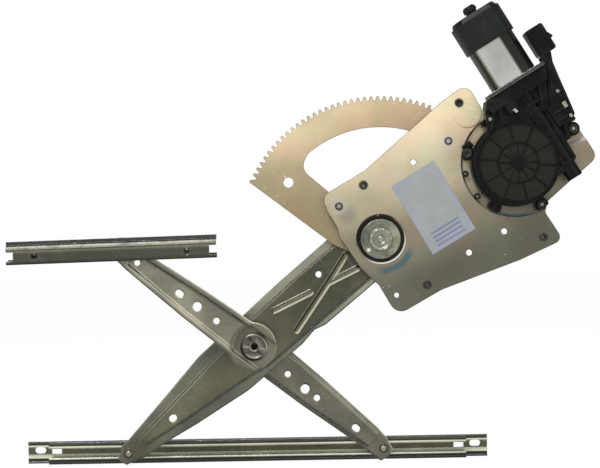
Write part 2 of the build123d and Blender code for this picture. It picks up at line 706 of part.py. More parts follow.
def worm_wheel():
    """Toothed plastic wheel driven by the worm, round its rubber damper."""
    size = 2 * (worm_offset - worm_radius - 1.1) / wheel_teeth
    pitch_radius = wheel_teeth * size / 2
    radii = [pitch_radius - 1.1 * size, pitch_radius + 0.7 * size]
    points = []
    for number in range(wheel_teeth, 0, -1):
        points += tooth_points(2 * math.pi * number / wheel_teeth, radii, wheel_teeth, size)
    disc = outline(*points) - Circle(16)
    wheel = slab(disc, worm_depth - wheel_width / 2, worm_depth + wheel_width / 2)
    groove = slab(Circle(31) - Circle(20), worm_depth - wheel_width / 2, worm_depth - 1.5)
    return gearbox * (wheel - groove)


def wheel_damper():
    """Rubber ring between the wheel and the output shaft's hub."""
    lobes = Circle(16) - Circle(10)
    return gearbox * slab(lobes, worm_depth - wheel_width / 2 + 0.5, worm_depth + wheel_width / 2 - 0.5)


pinion_front = recess_depth + 2.4
pinion_rear = arm_front + 2.0


def output_shaft():
    """Hardened shaft with a hub inside the damper and a shoulder on the cup's floor."""
    top = worm_depth - wheel_width / 2 - 0.8
    return gearbox * turned(
        (0, top), (shaft_radius - 1, top), (shaft_radius - 1, worm_depth - wheel_width / 2),
        (10, worm_depth - wheel_width / 2), (10, worm_depth + wheel_width / 2),
        (shaft_radius, worm_depth + wheel_width / 2), (shaft_radius, pinion_rear), (0, pinion_rear),
    )


def drive_pinion():
    """Twelve-tooth pinion on the end of the output shaft, in mesh with the sector."""
    pitch_radius = pinion_teeth * module / 2
    base_radius = pitch_radius * math.cos(pressure_angle)
    radii = [pitch_radius - dedendum, base_radius, pitch_radius, pitch_radius + 0.55 * module]
    radii += [pitch_radius + pinion_addendum]
    toward_sector = math.radians(180 + pinion_direction)
    step = 2 * math.pi / pinion_teeth
    points = []
    for number in range(pinion_teeth, 0, -1):
        points += tooth_points(toward_sector + (number + 0.5) * step, radii, pinion_teeth, module)
    gear = outline(*points) - Circle(shaft_radius)
    return drawing_frame(drive_x, drive_z) * slab(gear, pinion_front, pinion_rear)


# Motor: can, cap, magnets, armature, brushes and bearings on the worm axis
can_radius, can_half_thickness, can_wall = 24.5, 19.0, 2.0
press_gap = 0.05
thrust_thickness = 1.8
worm_length = 48.0
commutator_u, commutator_length = 56.0, 11.0
brush_width = 5.8
cap_radius, cap_half_thickness = 27.0, 21.0
cap_wall = 3.0
cap_step = 1.5
crown_height, crown_draft = 4.5, 28
boss_neck_radius, boss_neck_length = 5.8, 2.5
rear_boss_radius = 7.0
rear_bore_radius = 4.8
core_radius, core_length, core_start_u = 15.8, 30.0, 78.0
magnet_gap = 0.8
magnet_length = 34.0
commutator_radius = 7.0


def motor_flange():
    """Steel collar between the can and the gear housing."""
    collar = Pos(-0.5, 0) * Rectangle(65, 40)
    collar = fillet(collar.vertices(), 6) - flat_sided(20, 14)
    return gearbox * along_worm(collar, flange_u, flange_sheet)


def motor_can():
    """Drawn steel can with two flats."""
    length = can_end_u - flange_u - flange_sheet
    outer = flat_sided(can_radius, can_half_thickness)
    inner = flat_sided(can_radius - can_wall, can_half_thickness - can_wall)
    return gearbox * along_worm(outer - inner, flange_u + flange_sheet, length)


def motor_end_cap():
    """Black cap over the can's end: rim, sloped crown and the rear bearing's boss."""
    outer = flat_sided(cap_radius, cap_half_thickness)
    cap = along_worm(outer, can_end_u, cap_end_u - can_end_u)
    cap += along_worm(offset(outer, -cap_step), cap_end_u, crown_height, crown_draft)
    boss_start = cap_end_u + crown_height
    cap += along_worm(Circle(boss_neck_radius), boss_start, boss_neck_length)
    cap += along_worm(Circle(rear_boss_radius), boss_start + boss_neck_length, 3.5)
    cap += along_worm(Circle(rear_boss_radius), boss_start + boss_neck_length + 3.5, 2.5, 35)
    inner = flat_sided(can_radius - 1, can_half_thickness - 1)
    cap -= along_worm(inner, can_end_u, cap_end_u - can_end_u - cap_wall)
    return gearbox * (cap - along_worm(Circle(rear_bore_radius), cap_end_u - cap_wall, 12))


def core_slots():
    """Winding slots across the armature core."""
    slot = Pos(core_radius - 3.3, 0) * Rectangle(6.5, 2.2)
    return Sketch() + [Rot(0, 0, 36 * n) * slot for n in range(10)]


def field_magnets():
    """Two arc magnets on the can's round sides."""
    seat = can_radius - can_wall - press_gap
    ring = Circle(seat) - Circle(core_radius + magnet_gap)
    arcs = (ring & Rectangle(2 * can_radius, 28)) - Rectangle(16, 60)
    start = core_start_u + (core_length - magnet_length) / 2
    return gearbox * along_worm(arcs, start, magnet_length)


def armature_shaft():
    """Steel shaft through the motor, reduced to the worm in the gearbox."""
    start, end = worm_tube_end + nose_wall + thrust_thickness + 0.2, cap_end_u + 7
    shaft = along_worm(Circle(armature_shaft_radius), start, end - start)
    relief = Circle(armature_shaft_radius + 1) - Circle(worm_radius)
    return gearbox * (shaft - along_worm(relief, -worm_length / 2, worm_length))


def armature_core():
    """Laminated core with its winding slots."""
    core = Circle(core_radius) - core_slots() - Circle(armature_shaft_radius)
    return gearbox * along_worm(core, core_start_u, core_length)


def commutator():
    """Copper segments in front of the core."""
    ring = Circle(commutator_radius) - Circle(armature_shaft_radius)
    return gearbox * along_worm(ring, commutator_u, commutator_length)


def brush_holder():
    """Plastic plate that carries the brushes round the commutator."""
    plate = flat_sided(19.6, 13.6) - Circle(commutator_radius + 1.5)
    holder = along_worm(plate, commutator_u + 8.5, 3)
    guide = Pos(12, 0) * (Rectangle(8, 8) - Rectangle(8, brush_width + 0.2))
    guides = Sketch() + [guide, Rot(0, 0, 180) * guide]
    return gearbox * (holder + along_worm(guides, commutator_u + 0.5, 8))


def brushes():
    """Two carbon brushes on the commutator."""
    block = Pos(commutator_radius + 0.2 + 4.8, 0) * Rectangle(9.6, brush_width)
    return [gearbox * along_worm(Rot(0, 0, 180 * n) * block, commutator_u + 1, 7) for n in range(2)]


def shaft_bearings():
    """Sintered bushes at both ends of the worm and in the end cap."""
    bore = Circle(armature_shaft_radius + pivot_clearance)
    nose = along_worm(Circle(worm_bore_radius) - bore, worm_tube_end + 5, 8)
    neck = along_worm(Circle(worm_bore_radius) - bore, 38, 9)
    tail = along_worm(Circle(rear_bore_radius) - bore, cap_end_u - 2, 9)
    return [gearbox * nose, gearbox * neck, gearbox * tail]


def thrust_pad():
    """Hard pad that takes the worm's end load."""
    return gearbox * along_worm(Circle(worm_bore_radius), worm_tube_end + nose_wall, thrust_thickness)


# Electronics housing with the plug socket
socket_low, socket_high = (76.0, -93.0), (105.0, -73.0)
socket_front, socket_rear = -19.0, -3.0
socket_wall = 2.0
electronics_front, electronics_rear = -21.0, 0.0


def electronics_housing():
    """Box beside the worm tube that ends in the plug socket."""
    box = outline(
        (flange_u, -74.4), (flange_u, -82, 2), (50, -79), (33, -76.5), (11, -73, 2), (8, -69, 2),
        (8, -52.4), (29.7, -52.4), (29.7, -55.3))
    shell = eased(slab(box, electronics_front, electronics_rear), 1.0)
    lid = outline((62, -79, 1.5), (37, -75, 1.5), (37, -63.5, 1.5), (62, -74.5, 1.5))
    shell += slab(lid, electronics_front - 2, electronics_front + 1)
    shell -= slab(offset(box, -socket_wall), electronics_front + 2, electronics_rear - 2)
    neck = outline((flange_u - 8, -75), (80, -75), (80, -88), (flange_u - 8, -80))
    shell += slab(neck, socket_front + 2, socket_rear - 2)
    length, width = socket_high[0] - socket_low[0], socket_high[1] - socket_low[1]
    centre = Pos((socket_low[0] + socket_high[0]) / 2, (socket_low[1] + socket_high[1]) / 2)
    socket = slab(centre * RectangleRounded(length, width, 2.5), socket_front, socket_rear)
    room = Pos(socket_wall + 4) * Rectangle(length - 4, width - 2 * socket_wall)
    ramp = slab(outline((86, -93), (96, -93), (88, -97)), socket_front + 5, socket_rear - 5)
    hollow = slab(centre * room, socket_front + socket_wall, socket_rear - socket_wall)
    return gearbox * (shell + socket - hollow + ramp)


def circuit_board():
    """Board standing in the electronics housing."""
    board = outline((60, -77), (24, -71.5), (11, -69.5), (11, -59), (28, -59), (60, -74))
    return gearbox * slab(board, electronics_front + 2, electronics_front + 3.6)


def connector_contacts():
    """Six tinned blades in the socket."""
    middle = (socket_front + socket_rear) / 2
    blades = []
    for n in (-1, 0, 1):
        blade = Pos(88.5, (socket_low[1] + socket_high[1]) / 2 + 5 * n) * Rectangle(9, 1.0)
        blades += [slab(blade, depth - 0.4, depth + 0.4) for depth in (middle - 2.5, middle + 2.5)]
    return [gearbox * blade for blade in blades]


# Screws
def headed_screw(head_radius, head_height, shank_radius, under_head, end):
    """Round-headed screw with a hexagon recess, from under its head to its end."""
    screw = turned(
        (0, under_head - head_height), (head_radius - 0.6, under_head - head_height),
        (head_radius, under_head - head_height + 0.6), (head_radius, under_head),
        (shank_radius, under_head), (shank_radius, end), (0, end),
    )
    recess = RegularPolygon(head_radius * 0.5, 6)
    return screw - slab(recess, under_head - head_height, under_head - head_height + 1.6)


def motor_screws():
    """Screws that hold the gearbox to the plate's recess."""
    seat = recess_depth
    screw = headed_screw(5.0, 3.0, motor_screw_radius, seat - 8, seat + plate_sheet + 0.6)
    return [gearbox * Pos(u, v) * screw for u, v in motor_screw_places]


label_place = (53.0, 30.5)
label_length, label_width, label_sheet = 80.0, 50.0, 0.15


def data_label():
    """Blank adhesive label on the plate."""
    label = Pos(*label_place) * Rot(0, 0, motor_heading - 0.8) * Rectangle(label_length, label_width)
    return door * slab(label, -label_sheet, 0)


save("base_plate", base_plate())
save("clinch_nuts", *clinch_nuts())
save("sector_guide_pads", *sector_guide_pads())
save("main_pivot_rivet", main_pivot_rivet())
save("pivot_front_washer", door * washer(pivot_radius, front_washer_radius, dish_depth - 1.2, 1.2))
save("pivot_slide_washer", door * washer(pivot_radius, front_washer_radius, dish_rear, washer_sheet))
rear_washer = washer(pivot_radius, rear_washer_radius, arm_web_rear + running_gap, washer_sheet)
save("pivot_rear_washer", door * rear_washer)
save("data_label", data_label())
save("gear_housing", gear_housing())
save("gear_cover", gear_cover())
save("cover_seal", cover_seal())
save("motor_screws", *motor_screws())
save("motor_flange", motor_flange())
save("motor_can", motor_can())
save("motor_end_cap", motor_end_cap())
save("field_magnets", field_magnets())
save("brush_holder", brush_holder())
save("brushes", *brushes())
save("shaft_bearings", *shaft_bearings())
save("thrust_pad", thrust_pad())
save("electronics_housing", electronics_housing())
save("circuit_board", circuit_board())
save("connector_contacts", *connector_contacts())
save("fixed_guide_rail", fixed_guide_rail())
save("rail_clinch_nuts", *rail_clinch_nuts())
save("sector_gear", sector_gear())
save("lift_arm", lift_arm())
save("arm_rivets", *arm_rivets())
save("scissor_bush", scissor_bush())
save("lift_roller_pin", lift_pin)
save("equalizer_front_half", equalizer_front_half())
save("equalizer_rear_half", equalizer_rear_half())
save("scissor_rivet", scissor_rivet())
save("rail_roller_pin", rail_pin)
save("glass_roller_pin", glass_pin)
save("lift_roller", lift_roller)
save("rail_roller", rail_roller)
save("glass_roller", glass_roller)
save("glass_channel", glass_channel())
save("worm_wheel", worm_wheel())
save("wheel_damper", wheel_damper())
save("output_shaft", output_shaft())
save("drive_pinion", drive_pinion())
save("armature_shaft", armature_shaft())
save("armature_core", armature_core())
save("commutator", commutator())
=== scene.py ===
import math

import bpy
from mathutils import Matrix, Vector


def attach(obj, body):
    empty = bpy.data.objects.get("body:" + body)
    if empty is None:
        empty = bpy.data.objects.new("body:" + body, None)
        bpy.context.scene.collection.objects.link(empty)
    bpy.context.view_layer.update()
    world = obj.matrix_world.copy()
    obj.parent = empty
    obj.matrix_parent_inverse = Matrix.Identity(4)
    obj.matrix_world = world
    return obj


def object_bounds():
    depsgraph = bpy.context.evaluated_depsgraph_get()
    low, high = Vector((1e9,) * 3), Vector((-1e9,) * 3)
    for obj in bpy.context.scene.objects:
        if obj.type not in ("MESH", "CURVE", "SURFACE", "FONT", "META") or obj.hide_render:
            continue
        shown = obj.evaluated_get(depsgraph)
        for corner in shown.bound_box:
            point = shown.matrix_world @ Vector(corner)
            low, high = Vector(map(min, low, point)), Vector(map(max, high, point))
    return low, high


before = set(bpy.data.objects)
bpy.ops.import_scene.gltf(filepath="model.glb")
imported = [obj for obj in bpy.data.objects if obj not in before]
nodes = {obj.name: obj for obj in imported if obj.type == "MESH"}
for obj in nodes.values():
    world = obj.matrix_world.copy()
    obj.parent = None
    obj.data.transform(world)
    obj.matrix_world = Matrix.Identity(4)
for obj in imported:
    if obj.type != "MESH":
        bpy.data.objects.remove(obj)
cad_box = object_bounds()

# Camera. The photograph looks at the cabin side straight on, from about a metre and a half,
# and the regulator hangs in it turned by one degree.
picture_width = 0.600
camera_distance = 1.55
sensor = 36.0
far_limit = 20
photo_centre = (-0.0643, -0.0477)
photo_roll = math.radians(1.0)
camera_data = bpy.data.cameras.new("photo_camera")
camera_data.sensor_width = sensor
camera_data.lens = sensor * camera_distance / picture_width
camera_data.clip_end = far_limit
photo_camera = bpy.data.objects.new("photo_camera", camera_data)
photo_camera.location = (photo_centre[0], -camera_distance, photo_centre[1])
photo_camera.rotation_euler = (math.pi / 2, photo_roll, 0)
bpy.context.scene.collection.objects.link(photo_camera)
bpy.context.scene.camera = photo_camera
bpy.context.scene.view_settings.view_transform = "Standard"


# Studio. A large soft box hangs above and before the part, weak ones stand at its right and
# behind it, and the room is brightest around the camera and dark toward its sides and ground.
part_middle = (-0.05, 0.0, -0.05)


def soft_box(name, place, size, watts):
    """Rectangular lamp aimed at the middle of the part."""
    lamp_data = bpy.data.lights.new(name, "AREA")
    lamp_data.shape = "RECTANGLE"
    lamp_data.size, lamp_data.size_y = size
    lamp_data.energy = watts
    lamp = bpy.data.objects.new(name, lamp_data)
    lamp.location = place
    aim = Vector(part_middle) - Vector(place)
    lamp.rotation_euler = aim.to_track_quat("-Z", "Y").to_euler()
    bpy.context.scene.collection.objects.link(lamp)


soft_box("key_box", place=(-0.55, -1.1, 1.25), size=(0.7, 0.5), watts=20.0)
soft_box("fill_box", place=(1.3, -1.0, 0.1), size=(0.6, 0.9), watts=3.0)
soft_box("back_box", place=(-0.3, 1.4, 0.9), size=(1.2, 0.6), watts=16.0)


def shader_node(tree, kind, settings=None, **entries):
    """Adds a node, sets its own settings and then the values of its sockets."""
    made = tree.nodes.new("ShaderNode" + kind)
    for name, value in (settings or {}).items():
        setattr(made, name, value)
    for name, value in entries.items():
        made.inputs[name.replace("_", " ")].default_value = value
    return made


def link(tree, source, target, entry):
    """Wires a source, a (node, output) pair, to a socket of another node."""
    tree.links.new(source[0].outputs[source[1]], target.inputs[entry])


def ramp(tree, source, low, high, to_low=0.0, to_high=1.0):
    """Smoothly maps a source between two levels to another range."""
    made = shader_node(tree, "MapRange", {"interpolation_type": "SMOOTHSTEP"},
                       From_Min=low, From_Max=high, To_Min=to_low, To_Max=to_high)
    link(tree, source, made, "Value")
    return (made, "Result")


def arithmetic(tree, operation, first, second=0.0):
    """Math node on two values, each a source or a number."""
    made = shader_node(tree, "Math", {"operation": operation})
    for entry, source in enumerate((first, second)):
        if isinstance(source, tuple):
            link(tree, source, made, entry)
        else:
            made.inputs[entry].default_value = source
    return (made, "Value")


def show_by_share(tree, share, first, second, out):
    """Ends a tree in a mix of two shaders."""
    choose = shader_node(tree, "MixShader")
    link(tree, share, choose, "Fac")
    link(tree, (first, 0), choose, 1)
    link(tree, (second, 0), choose, 2)
    link(tree, (choose, "Shader"), out, "Surface")


ground_side, ceiling_side = -0.7, 0.7
ground_light, ceiling_light = 0.30, 1.0
rear_side, camera_side = 0.1, -0.85
rear_light, camera_light = 0.22, 1.15
white = (1, 1, 1, 1)
studio = bpy.data.worlds.new("studio")
bpy.context.scene.world = studio
studio.use_nodes = True
sky = studio.node_tree
sky.nodes.clear()
sky_out = sky.nodes.new("ShaderNodeOutputWorld")
direction = shader_node(sky, "TexCoord")
sides = shader_node(sky, "SeparateXYZ")
link(sky, (direction, "Generated"), sides, "Vector")
by_height = ramp(sky, (sides, "Z"), ground_side, ceiling_side, ground_light, ceiling_light)
by_side = ramp(sky, (sides, "Y"), rear_side, camera_side, rear_light, camera_light)
room_shade = arithmetic(sky, "MULTIPLY", by_height, by_side)
room_light = shader_node(sky, "Background", Color=white)
link(sky, room_shade, room_light, "Strength")
white_backdrop = shader_node(sky, "Background", Color=white, Strength=1.0)
ray = shader_node(sky, "LightPath")
seen = arithmetic(sky, "MAXIMUM", (ray, "Is Camera Ray"), (ray, "Is Transmission Ray"))
show_by_share(sky, seen, room_light, white_backdrop, sky_out)

# Floor. A pale sheet under the part, seen as white, which keeps the part's soft shadow.
# It lies half a millimetre below the lowest edge of the glass channel.
floor_drop = 0.0005
floor_width = 14
floor_pale = (0.82, 0.82, 0.82, 1)
floor_glow = 1.02
seen_share = 0.95
bpy.ops.mesh.primitive_plane_add(size=floor_width, location=(0, 0, cad_box[0].z - floor_drop))
floor = bpy.context.object
floor.name = "studio_floor"
floor_paint = bpy.data.materials.new("floor_paint")
floor_paint.use_nodes = True
floor_tree = floor_paint.node_tree
floor_tree.nodes.clear()
floor_out = floor_tree.nodes.new("ShaderNodeOutputMaterial")
sheet = shader_node(floor_tree, "BsdfDiffuse", Color=floor_pale)
glow = shader_node(floor_tree, "Emission", Color=white, Strength=floor_glow)
floor_ray = shader_node(floor_tree, "LightPath")
floor_share = arithmetic(floor_tree, "MULTIPLY", (floor_ray, "Is Camera Ray"), seen_share)
show_by_share(floor_tree, floor_share, sheet, glow, floor_out)
floor.data.materials.append(floor_paint)


# Base plate. A 1.6 mm steel pressing with the pivot's dish and the gearbox's recess in it,
# zinc plated and yellow passivated, which breaks into faint colours round the pressed forms.
# Its fade from cream at the upper left to olive grey at the lower right is painted light
# fall-off. Places are (x, z) in millimetres.
def new_group(name, entries, results):
    """Starts a node group with named sockets: (name, kind, value) and (name, kind)."""
    group = bpy.data.node_groups.new(name, "ShaderNodeTree")
    kinds = {"value": "NodeSocketFloat", "vector": "NodeSocketVector", "colour": "NodeSocketColor"}
    for entry, kind, value in entries:
        socket = group.interface.new_socket(entry, in_out="INPUT", socket_type=kinds[kind])
        if value is not None:
            socket.default_value = value
    for result, kind in results:
        group.interface.new_socket(result, in_out="OUTPUT", socket_type=kinds[kind])
    return group, group.nodes.new("NodeGroupInput"), group.nodes.new("NodeGroupOutput")


def noise(tree, source, scale, detail, roughness=0.55, distortion=0.0):
    made = shader_node(tree, "TexNoise", Scale=scale, Detail=detail, Roughness=roughness,
                       Distortion=distortion)
    link(tree, source, made, "Vector")
    return (made, "Fac")


mix_share, mix_base, mix_over, mixed = 0, 6, 7, 2


def blend_colour(tree, share, base, over, mode="MIX"):
    """Mixes two colours, each a source or a plain colour, by the colour sockets of a Mix node."""
    made = shader_node(tree, "Mix", {"data_type": "RGBA", "blend_type": mode})
    if isinstance(share, tuple):
        link(tree, share, made, mix_share)
    else:
        made.inputs[mix_share].default_value = share
    for entry, source in ((mix_base, base), (mix_over, over)):
        if len(source) == 2:
            link(tree, source, made, entry)
        else:
            made.inputs[entry].default_value = (*source, 1)
    return (made, mixed)


bevel_samples = 8
# Edge mask with a softened normal. Its share carries wear, broken into patches, and also painted
# highlight along light edges and painted shade along the plates' dark edges.
edge_wear_light_group, edge_wear_light_in, edge_wear_light_out = new_group(
    "edge_wear_and_painted_light",
    [("Radius", "value", 0.0006), ("Breakup", "value", 90.0)],
    [("Wear_and_painted_light", "value"), ("Normal", "vector")])
softened = shader_node(edge_wear_light_group, "Bevel", {"samples": bevel_samples})
facing = shader_node(edge_wear_light_group, "NewGeometry")
turn = shader_node(edge_wear_light_group, "VectorMath", {"operation": "DOT_PRODUCT"})
link(edge_wear_light_group, (edge_wear_light_in, "Radius"), softened, "Radius")
link(edge_wear_light_group, (softened, "Normal"), turn, 0)
link(edge_wear_light_group, (facing, "Normal"), turn, 1)
flat_facing, edge_facing = 0.990, 0.86
patch_levels, least_patch = (0.30, 0.58), 0.55
edge_wear_light = ramp(edge_wear_light_group, (turn, "Value"), flat_facing, edge_facing)
patch_place = shader_node(edge_wear_light_group, "TexCoord")
patches = shader_node(edge_wear_light_group, "TexNoise", Detail=3.0)
link(edge_wear_light_group, (patch_place, "Object"), patches, "Vector")
link(edge_wear_light_group, (edge_wear_light_in, "Breakup"), patches, "Scale")
patch_share = ramp(edge_wear_light_group, (patches, "Fac"), *patch_levels, to_low=least_patch)
link(edge_wear_light_group, arithmetic(edge_wear_light_group, "MULTIPLY", edge_wear_light, patch_share), edge_wear_light_out, "Wear_and_painted_light")
link(edge_wear_light_group, (softened, "Normal"), edge_wear_light_out, "Normal")

marks_group, marks_in, marks_out = new_group(
    "handling_marks",
    [("Vector", "vector", None), ("Size", "value", 1.0)],
    [("Scratches", "value"), ("Smudges", "value"), ("Clouds", "value"), ("Grain", "value"),
     ("Specks", "value")])
sized = shader_node(marks_group, "VectorMath", {"operation": "SCALE"})
link(marks_group, (marks_in, "Vector"), sized, 0)
link(marks_group, (marks_in, "Size"), sized, "Scale")
mark_place = (sized, "Vector")
scratch_length = 26
scratch_sets = ((0.5, 0.0011), (-0.7, 0.0012), (1.3, 0.0014))
area_scale, stain_scale, cloud_scale, grain_scale, speck_scale = 14.0, 34.0, 9.0, 900.0, 260.0
line_levels, area_levels = (0.70, 0.76), (0.42, 0.66)
stain_levels, speck_levels = (0.44, 0.72), (0.70, 0.75)
scratch_lines = 0.0
for heading, spacing in scratch_sets:
    turned = shader_node(marks_group, "Mapping", {"vector_type": "TEXTURE"},
                         Rotation=(0, heading, 0),
                         Scale=(spacing, spacing, scratch_length * spacing))
    link(marks_group, mark_place, turned, "Vector")
    streaks = noise(marks_group, (turned, "Vector"), 1.0, 2.0)
    lines = ramp(marks_group, streaks, *line_levels)
    scratch_lines = arithmetic(marks_group, "MAXIMUM", lines, scratch_lines)
areas = ramp(marks_group, noise(marks_group, mark_place, area_scale, 3.0), *area_levels)
scratches = arithmetic(marks_group, "MULTIPLY", scratch_lines, areas)
stains = noise(marks_group, mark_place, stain_scale, 6.0, 0.62, 0.6)
clouds = noise(marks_group, mark_place, cloud_scale, 3.0, 0.5, 0.3)
grain = noise(marks_group, mark_place, grain_scale, 3.0, 0.6)
dots = noise(marks_group, mark_place, speck_scale, 2.0, 0.5)
link(marks_group, scratches, marks_out, "Scratches")
link(marks_group, ramp(marks_group, stains, *stain_levels), marks_out, "Smudges")
link(marks_group, clouds, marks_out, "Clouds")
link(marks_group, grain, marks_out, "Grain")
link(marks_group, ramp(marks_group, dots, *speck_levels), marks_out, "Specks")

spot_group, spot_in, spot_out = new_group(
    "round_spot",
    [("Vector", "vector", None), ("Centre", "vector", None), ("Inner", "value", 0.001),
     ("Outer", "value", 0.002)],
    [("Share", "value")])
flattened = shader_node(spot_group, "VectorMath", {"operation": "MULTIPLY"})
link(spot_group, (spot_in, "Vector"), flattened, 0)
flattened.inputs[1].default_value = (1, 0, 1)
apart = shader_node(spot_group, "VectorMath", {"operation": "DISTANCE"})
link(spot_group, (flattened, "Vector"), apart, 0)
link(spot_group, (spot_in, "Centre"), apart, 1)
spot_share = ramp(spot_group, (apart, "Value"), 0.0, 1.0)
link(spot_group, (spot_in, "Outer"), spot_share[0], "From Min")
link(spot_group, (spot_in, "Inner"), spot_share[0], "From Max")
link(spot_group, spot_share, spot_out, "Share")

shaded_facing, lit_facing = (-0.04, -0.42), (0.08, 0.48)
slope_group, slope_in, slope_out = new_group(
    "slope_light",
    [("Radius", "value", 0.001), ("Toward", "vector", None)],
    [("Shaded", "value"), ("Lit", "value")])
rounded_slope = shader_node(slope_group, "Bevel", {"samples": bevel_samples})
link(slope_group, (slope_in, "Radius"), rounded_slope, "Radius")
slope_facing = shader_node(slope_group, "VectorMath", {"operation": "DOT_PRODUCT"})
link(slope_group, (rounded_slope, "Normal"), slope_facing, 0)
link(slope_group, (slope_in, "Toward"), slope_facing, 1)
facing_away = ramp(slope_group, (slope_facing, "Value"), *shaded_facing)
facing_room = ramp(slope_group, (slope_facing, "Value"), *lit_facing)
link(slope_group, facing_away, slope_out, "Shaded")
link(slope_group, facing_room, slope_out, "Lit")

drift_group, drift_in, drift_out = new_group(
    "passivation_drift", [("Vector", "vector", None)], [("Tint", "colour")])
drift_scale, drift_levels = 26.0, (0.38, 0.62)
pink, green = (1.06, 0.97, 0.95), (0.96, 1.02, 0.95)
drift = noise(drift_group, (drift_in, "Vector"), drift_scale, 3.0, 0.6, 0.4)
tint = blend_colour(drift_group, ramp(drift_group, drift, *drift_levels), pink, green)
link(drift_group, tint, drift_out, "Tint")


def new_finish(name, metallic, roughness):
    """Starts a material with a Principled shader; its colour is wired by its own section."""
    made = bpy.data.materials.new(name)
    made.use_nodes = True
    shader = made.node_tree.nodes["Principled BSDF"]
    shader.inputs["Metallic"].default_value = metallic
    shader.inputs["Roughness"].default_value = roughness
    return made, made.node_tree, shader


def place_group(tree, group, coordinates=None, **values):
    """Places a node group in a material, fed with the piece's own coordinates if it reads them."""
    made = shader_node(tree, "Group", {"node_tree": group})
    for name, value in values.items():
        made.inputs[name].default_value = value
    if coordinates:
        link(tree, (coordinates, "Object"), made, "Vector")
    return made


def dress(material, *names):
    """Gives CAD nodes their material."""
    for name in names:
        slots = nodes[name].material_slots
        for slot in slots:
            slot.material = material
        if not slots:
            nodes[name].data.materials.append(material)


def bump(tree, height, strength, distance, normal=None):
    made = shader_node(tree, "Bump", Strength=strength, Distance=distance)
    link(tree, height, made, "Height")
    if normal:
        link(tree, normal, made, "Normal")
    return (made, "Normal")


def near(tree, coordinates, place, inner, outer):
    """Share that falls from one inside a circle about a place to none outside it."""
    centre = (0.001 * place[0], 0.0, 0.001 * place[1])
    spot = place_group(tree, spot_group, coordinates, Centre=centre, Inner=0.001 * inner,
                       Outer=0.001 * outer)
    return (spot, "Share")


def heading_vector(heading, length=1.0):
    """Vector along a heading in the XZ plane, given in degrees from +X."""
    turned = math.radians(heading)
    return (length * math.cos(turned), 0, length * math.sin(turned))


def level_along(tree, coordinates, heading):
    """Distance from the row origin along a heading, in millimetres."""
    level = shader_node(tree, "VectorMath", {"operation": "DOT_PRODUCT"})
    link(tree, (coordinates, "Object"), level, 0)
    level.inputs[1].default_value = heading_vector(heading, 1000)
    return (level, "Value")


def fade_across(tree, level, stops):
    """Colour that changes along a level: stops are (level, colour), from the highest down."""
    colour = stops[0][1]
    for (high, _), (low, below) in zip(stops, stops[1:]):
        colour = blend_colour(tree, ramp(tree, level, high, low), colour, below)
    return colour


def spots(tree, coordinates, colour, places, inner, outer, share, over):
    """Round marks on a colour."""
    for place in places:
        inside = near(tree, coordinates, place, inner, outer)
        colour = blend_colour(tree, arithmetic(tree, "MULTIPLY", inside, share), colour, over)
    return colour


def crescent(tree, coordinates, centre, radii, side, reach):
    """Share of a ring about a centre, softened at both radii, that lies near a side of it."""
    ring_out = near(tree, coordinates, centre, radii[2], radii[3])
    ring_in = near(tree, coordinates, centre, radii[0], radii[1])
    ring = arithmetic(tree, "SUBTRACT", ring_out, ring_in)
    return arithmetic(tree, "MULTIPLY", ring, near(tree, coordinates, side, *reach))


def slope_tone(tree, colour, below, above, radius=1.0, heading=123.5):
    """Lights a pressing's slopes that face a heading and darkens the opposite ones."""
    slopes = place_group(tree, slope_group, Radius=0.001 * radius, Toward=heading_vector(heading))
    darkened = blend_colour(tree, (slopes, "Shaded"), colour, below)
    return blend_colour(tree, (slopes, "Lit"), darkened, above)


def passivation(tree, coordinates, colour):
    """Faint pink and green drifts of the yellow passivation."""
    drifts = place_group(tree, drift_group, coordinates)
    return blend_colour(tree, 1.0, colour, (drifts, "Tint"), "MULTIPLY")


def sheet_metal(name, base, dark, light, roughness, size=1.0, edge_wear_light=0.5, scratch=0.35, metallic=0.8,
                edge_wear_light_radius=0.6, tone_source=None, stain=0.55, speck=0.0, edge=None, soften=True,
                calm=None):
    """Rolled or plated metal: clouds of base and dark, light scratches and specks, and edges worn
    and painted as highlight, painted as shade where a dark edge colour is given.
    """
    cloud_levels = (0.36, 0.66)
    smoother, rougher = 0.06, 0.12
    grain_strength, grain_depth = 0.10, 0.0004
    made, tree, shader = new_finish(name, metallic, roughness)
    coordinates = shader_node(tree, "TexCoord")
    marks = place_group(tree, marks_group, coordinates, Size=size)
    tone = blend_colour(tree, ramp(tree, (marks, "Clouds"), *cloud_levels), base, dark)
    stain_share = arithmetic(tree, "MULTIPLY", (marks, "Smudges"), stain)
    stained = blend_colour(tree, stain_share, tone, dark)
    if tone_source:
        stained = blend_colour(tree, 1.0, stained, tone_source(tree, coordinates), "MULTIPLY")
    scratched = arithmetic(tree, "MULTIPLY", (marks, "Scratches"), scratch)
    dotted = arithmetic(tree, "MULTIPLY", (marks, "Specks"), speck)
    touched = arithmetic(tree, "MAXIMUM", scratched, dotted)
    marked = blend_colour(tree, touched, stained, light)
    # Edges take the light colour as wear and painted highlight; a dark edge colour, where given,
    # paints shade on them instead.
    edges = place_group(tree, edge_wear_light_group, Radius=0.001 * edge_wear_light_radius)
    edge_share = arithmetic(tree, "MULTIPLY", (edges, "Wear_and_painted_light"), edge_wear_light)
    if calm:
        kept = arithmetic(tree, "SUBTRACT", 1.0, near(tree, coordinates, *calm))
        edge_share = arithmetic(tree, "MULTIPLY", edge_share, kept)
    finished = blend_colour(tree, edge_share, marked, edge or light)
    link(tree, finished, shader, "Base Color")
    rough = ramp(tree, (marks, "Smudges"), 0.0, 1.0, roughness - smoother, roughness + rougher)
    link(tree, rough, shader, "Roughness")
    normal = (edges, "Normal") if soften else None
    link(tree, bump(tree, (marks, "Grain"), grain_strength, grain_depth, normal), shader, "Normal")
    return made


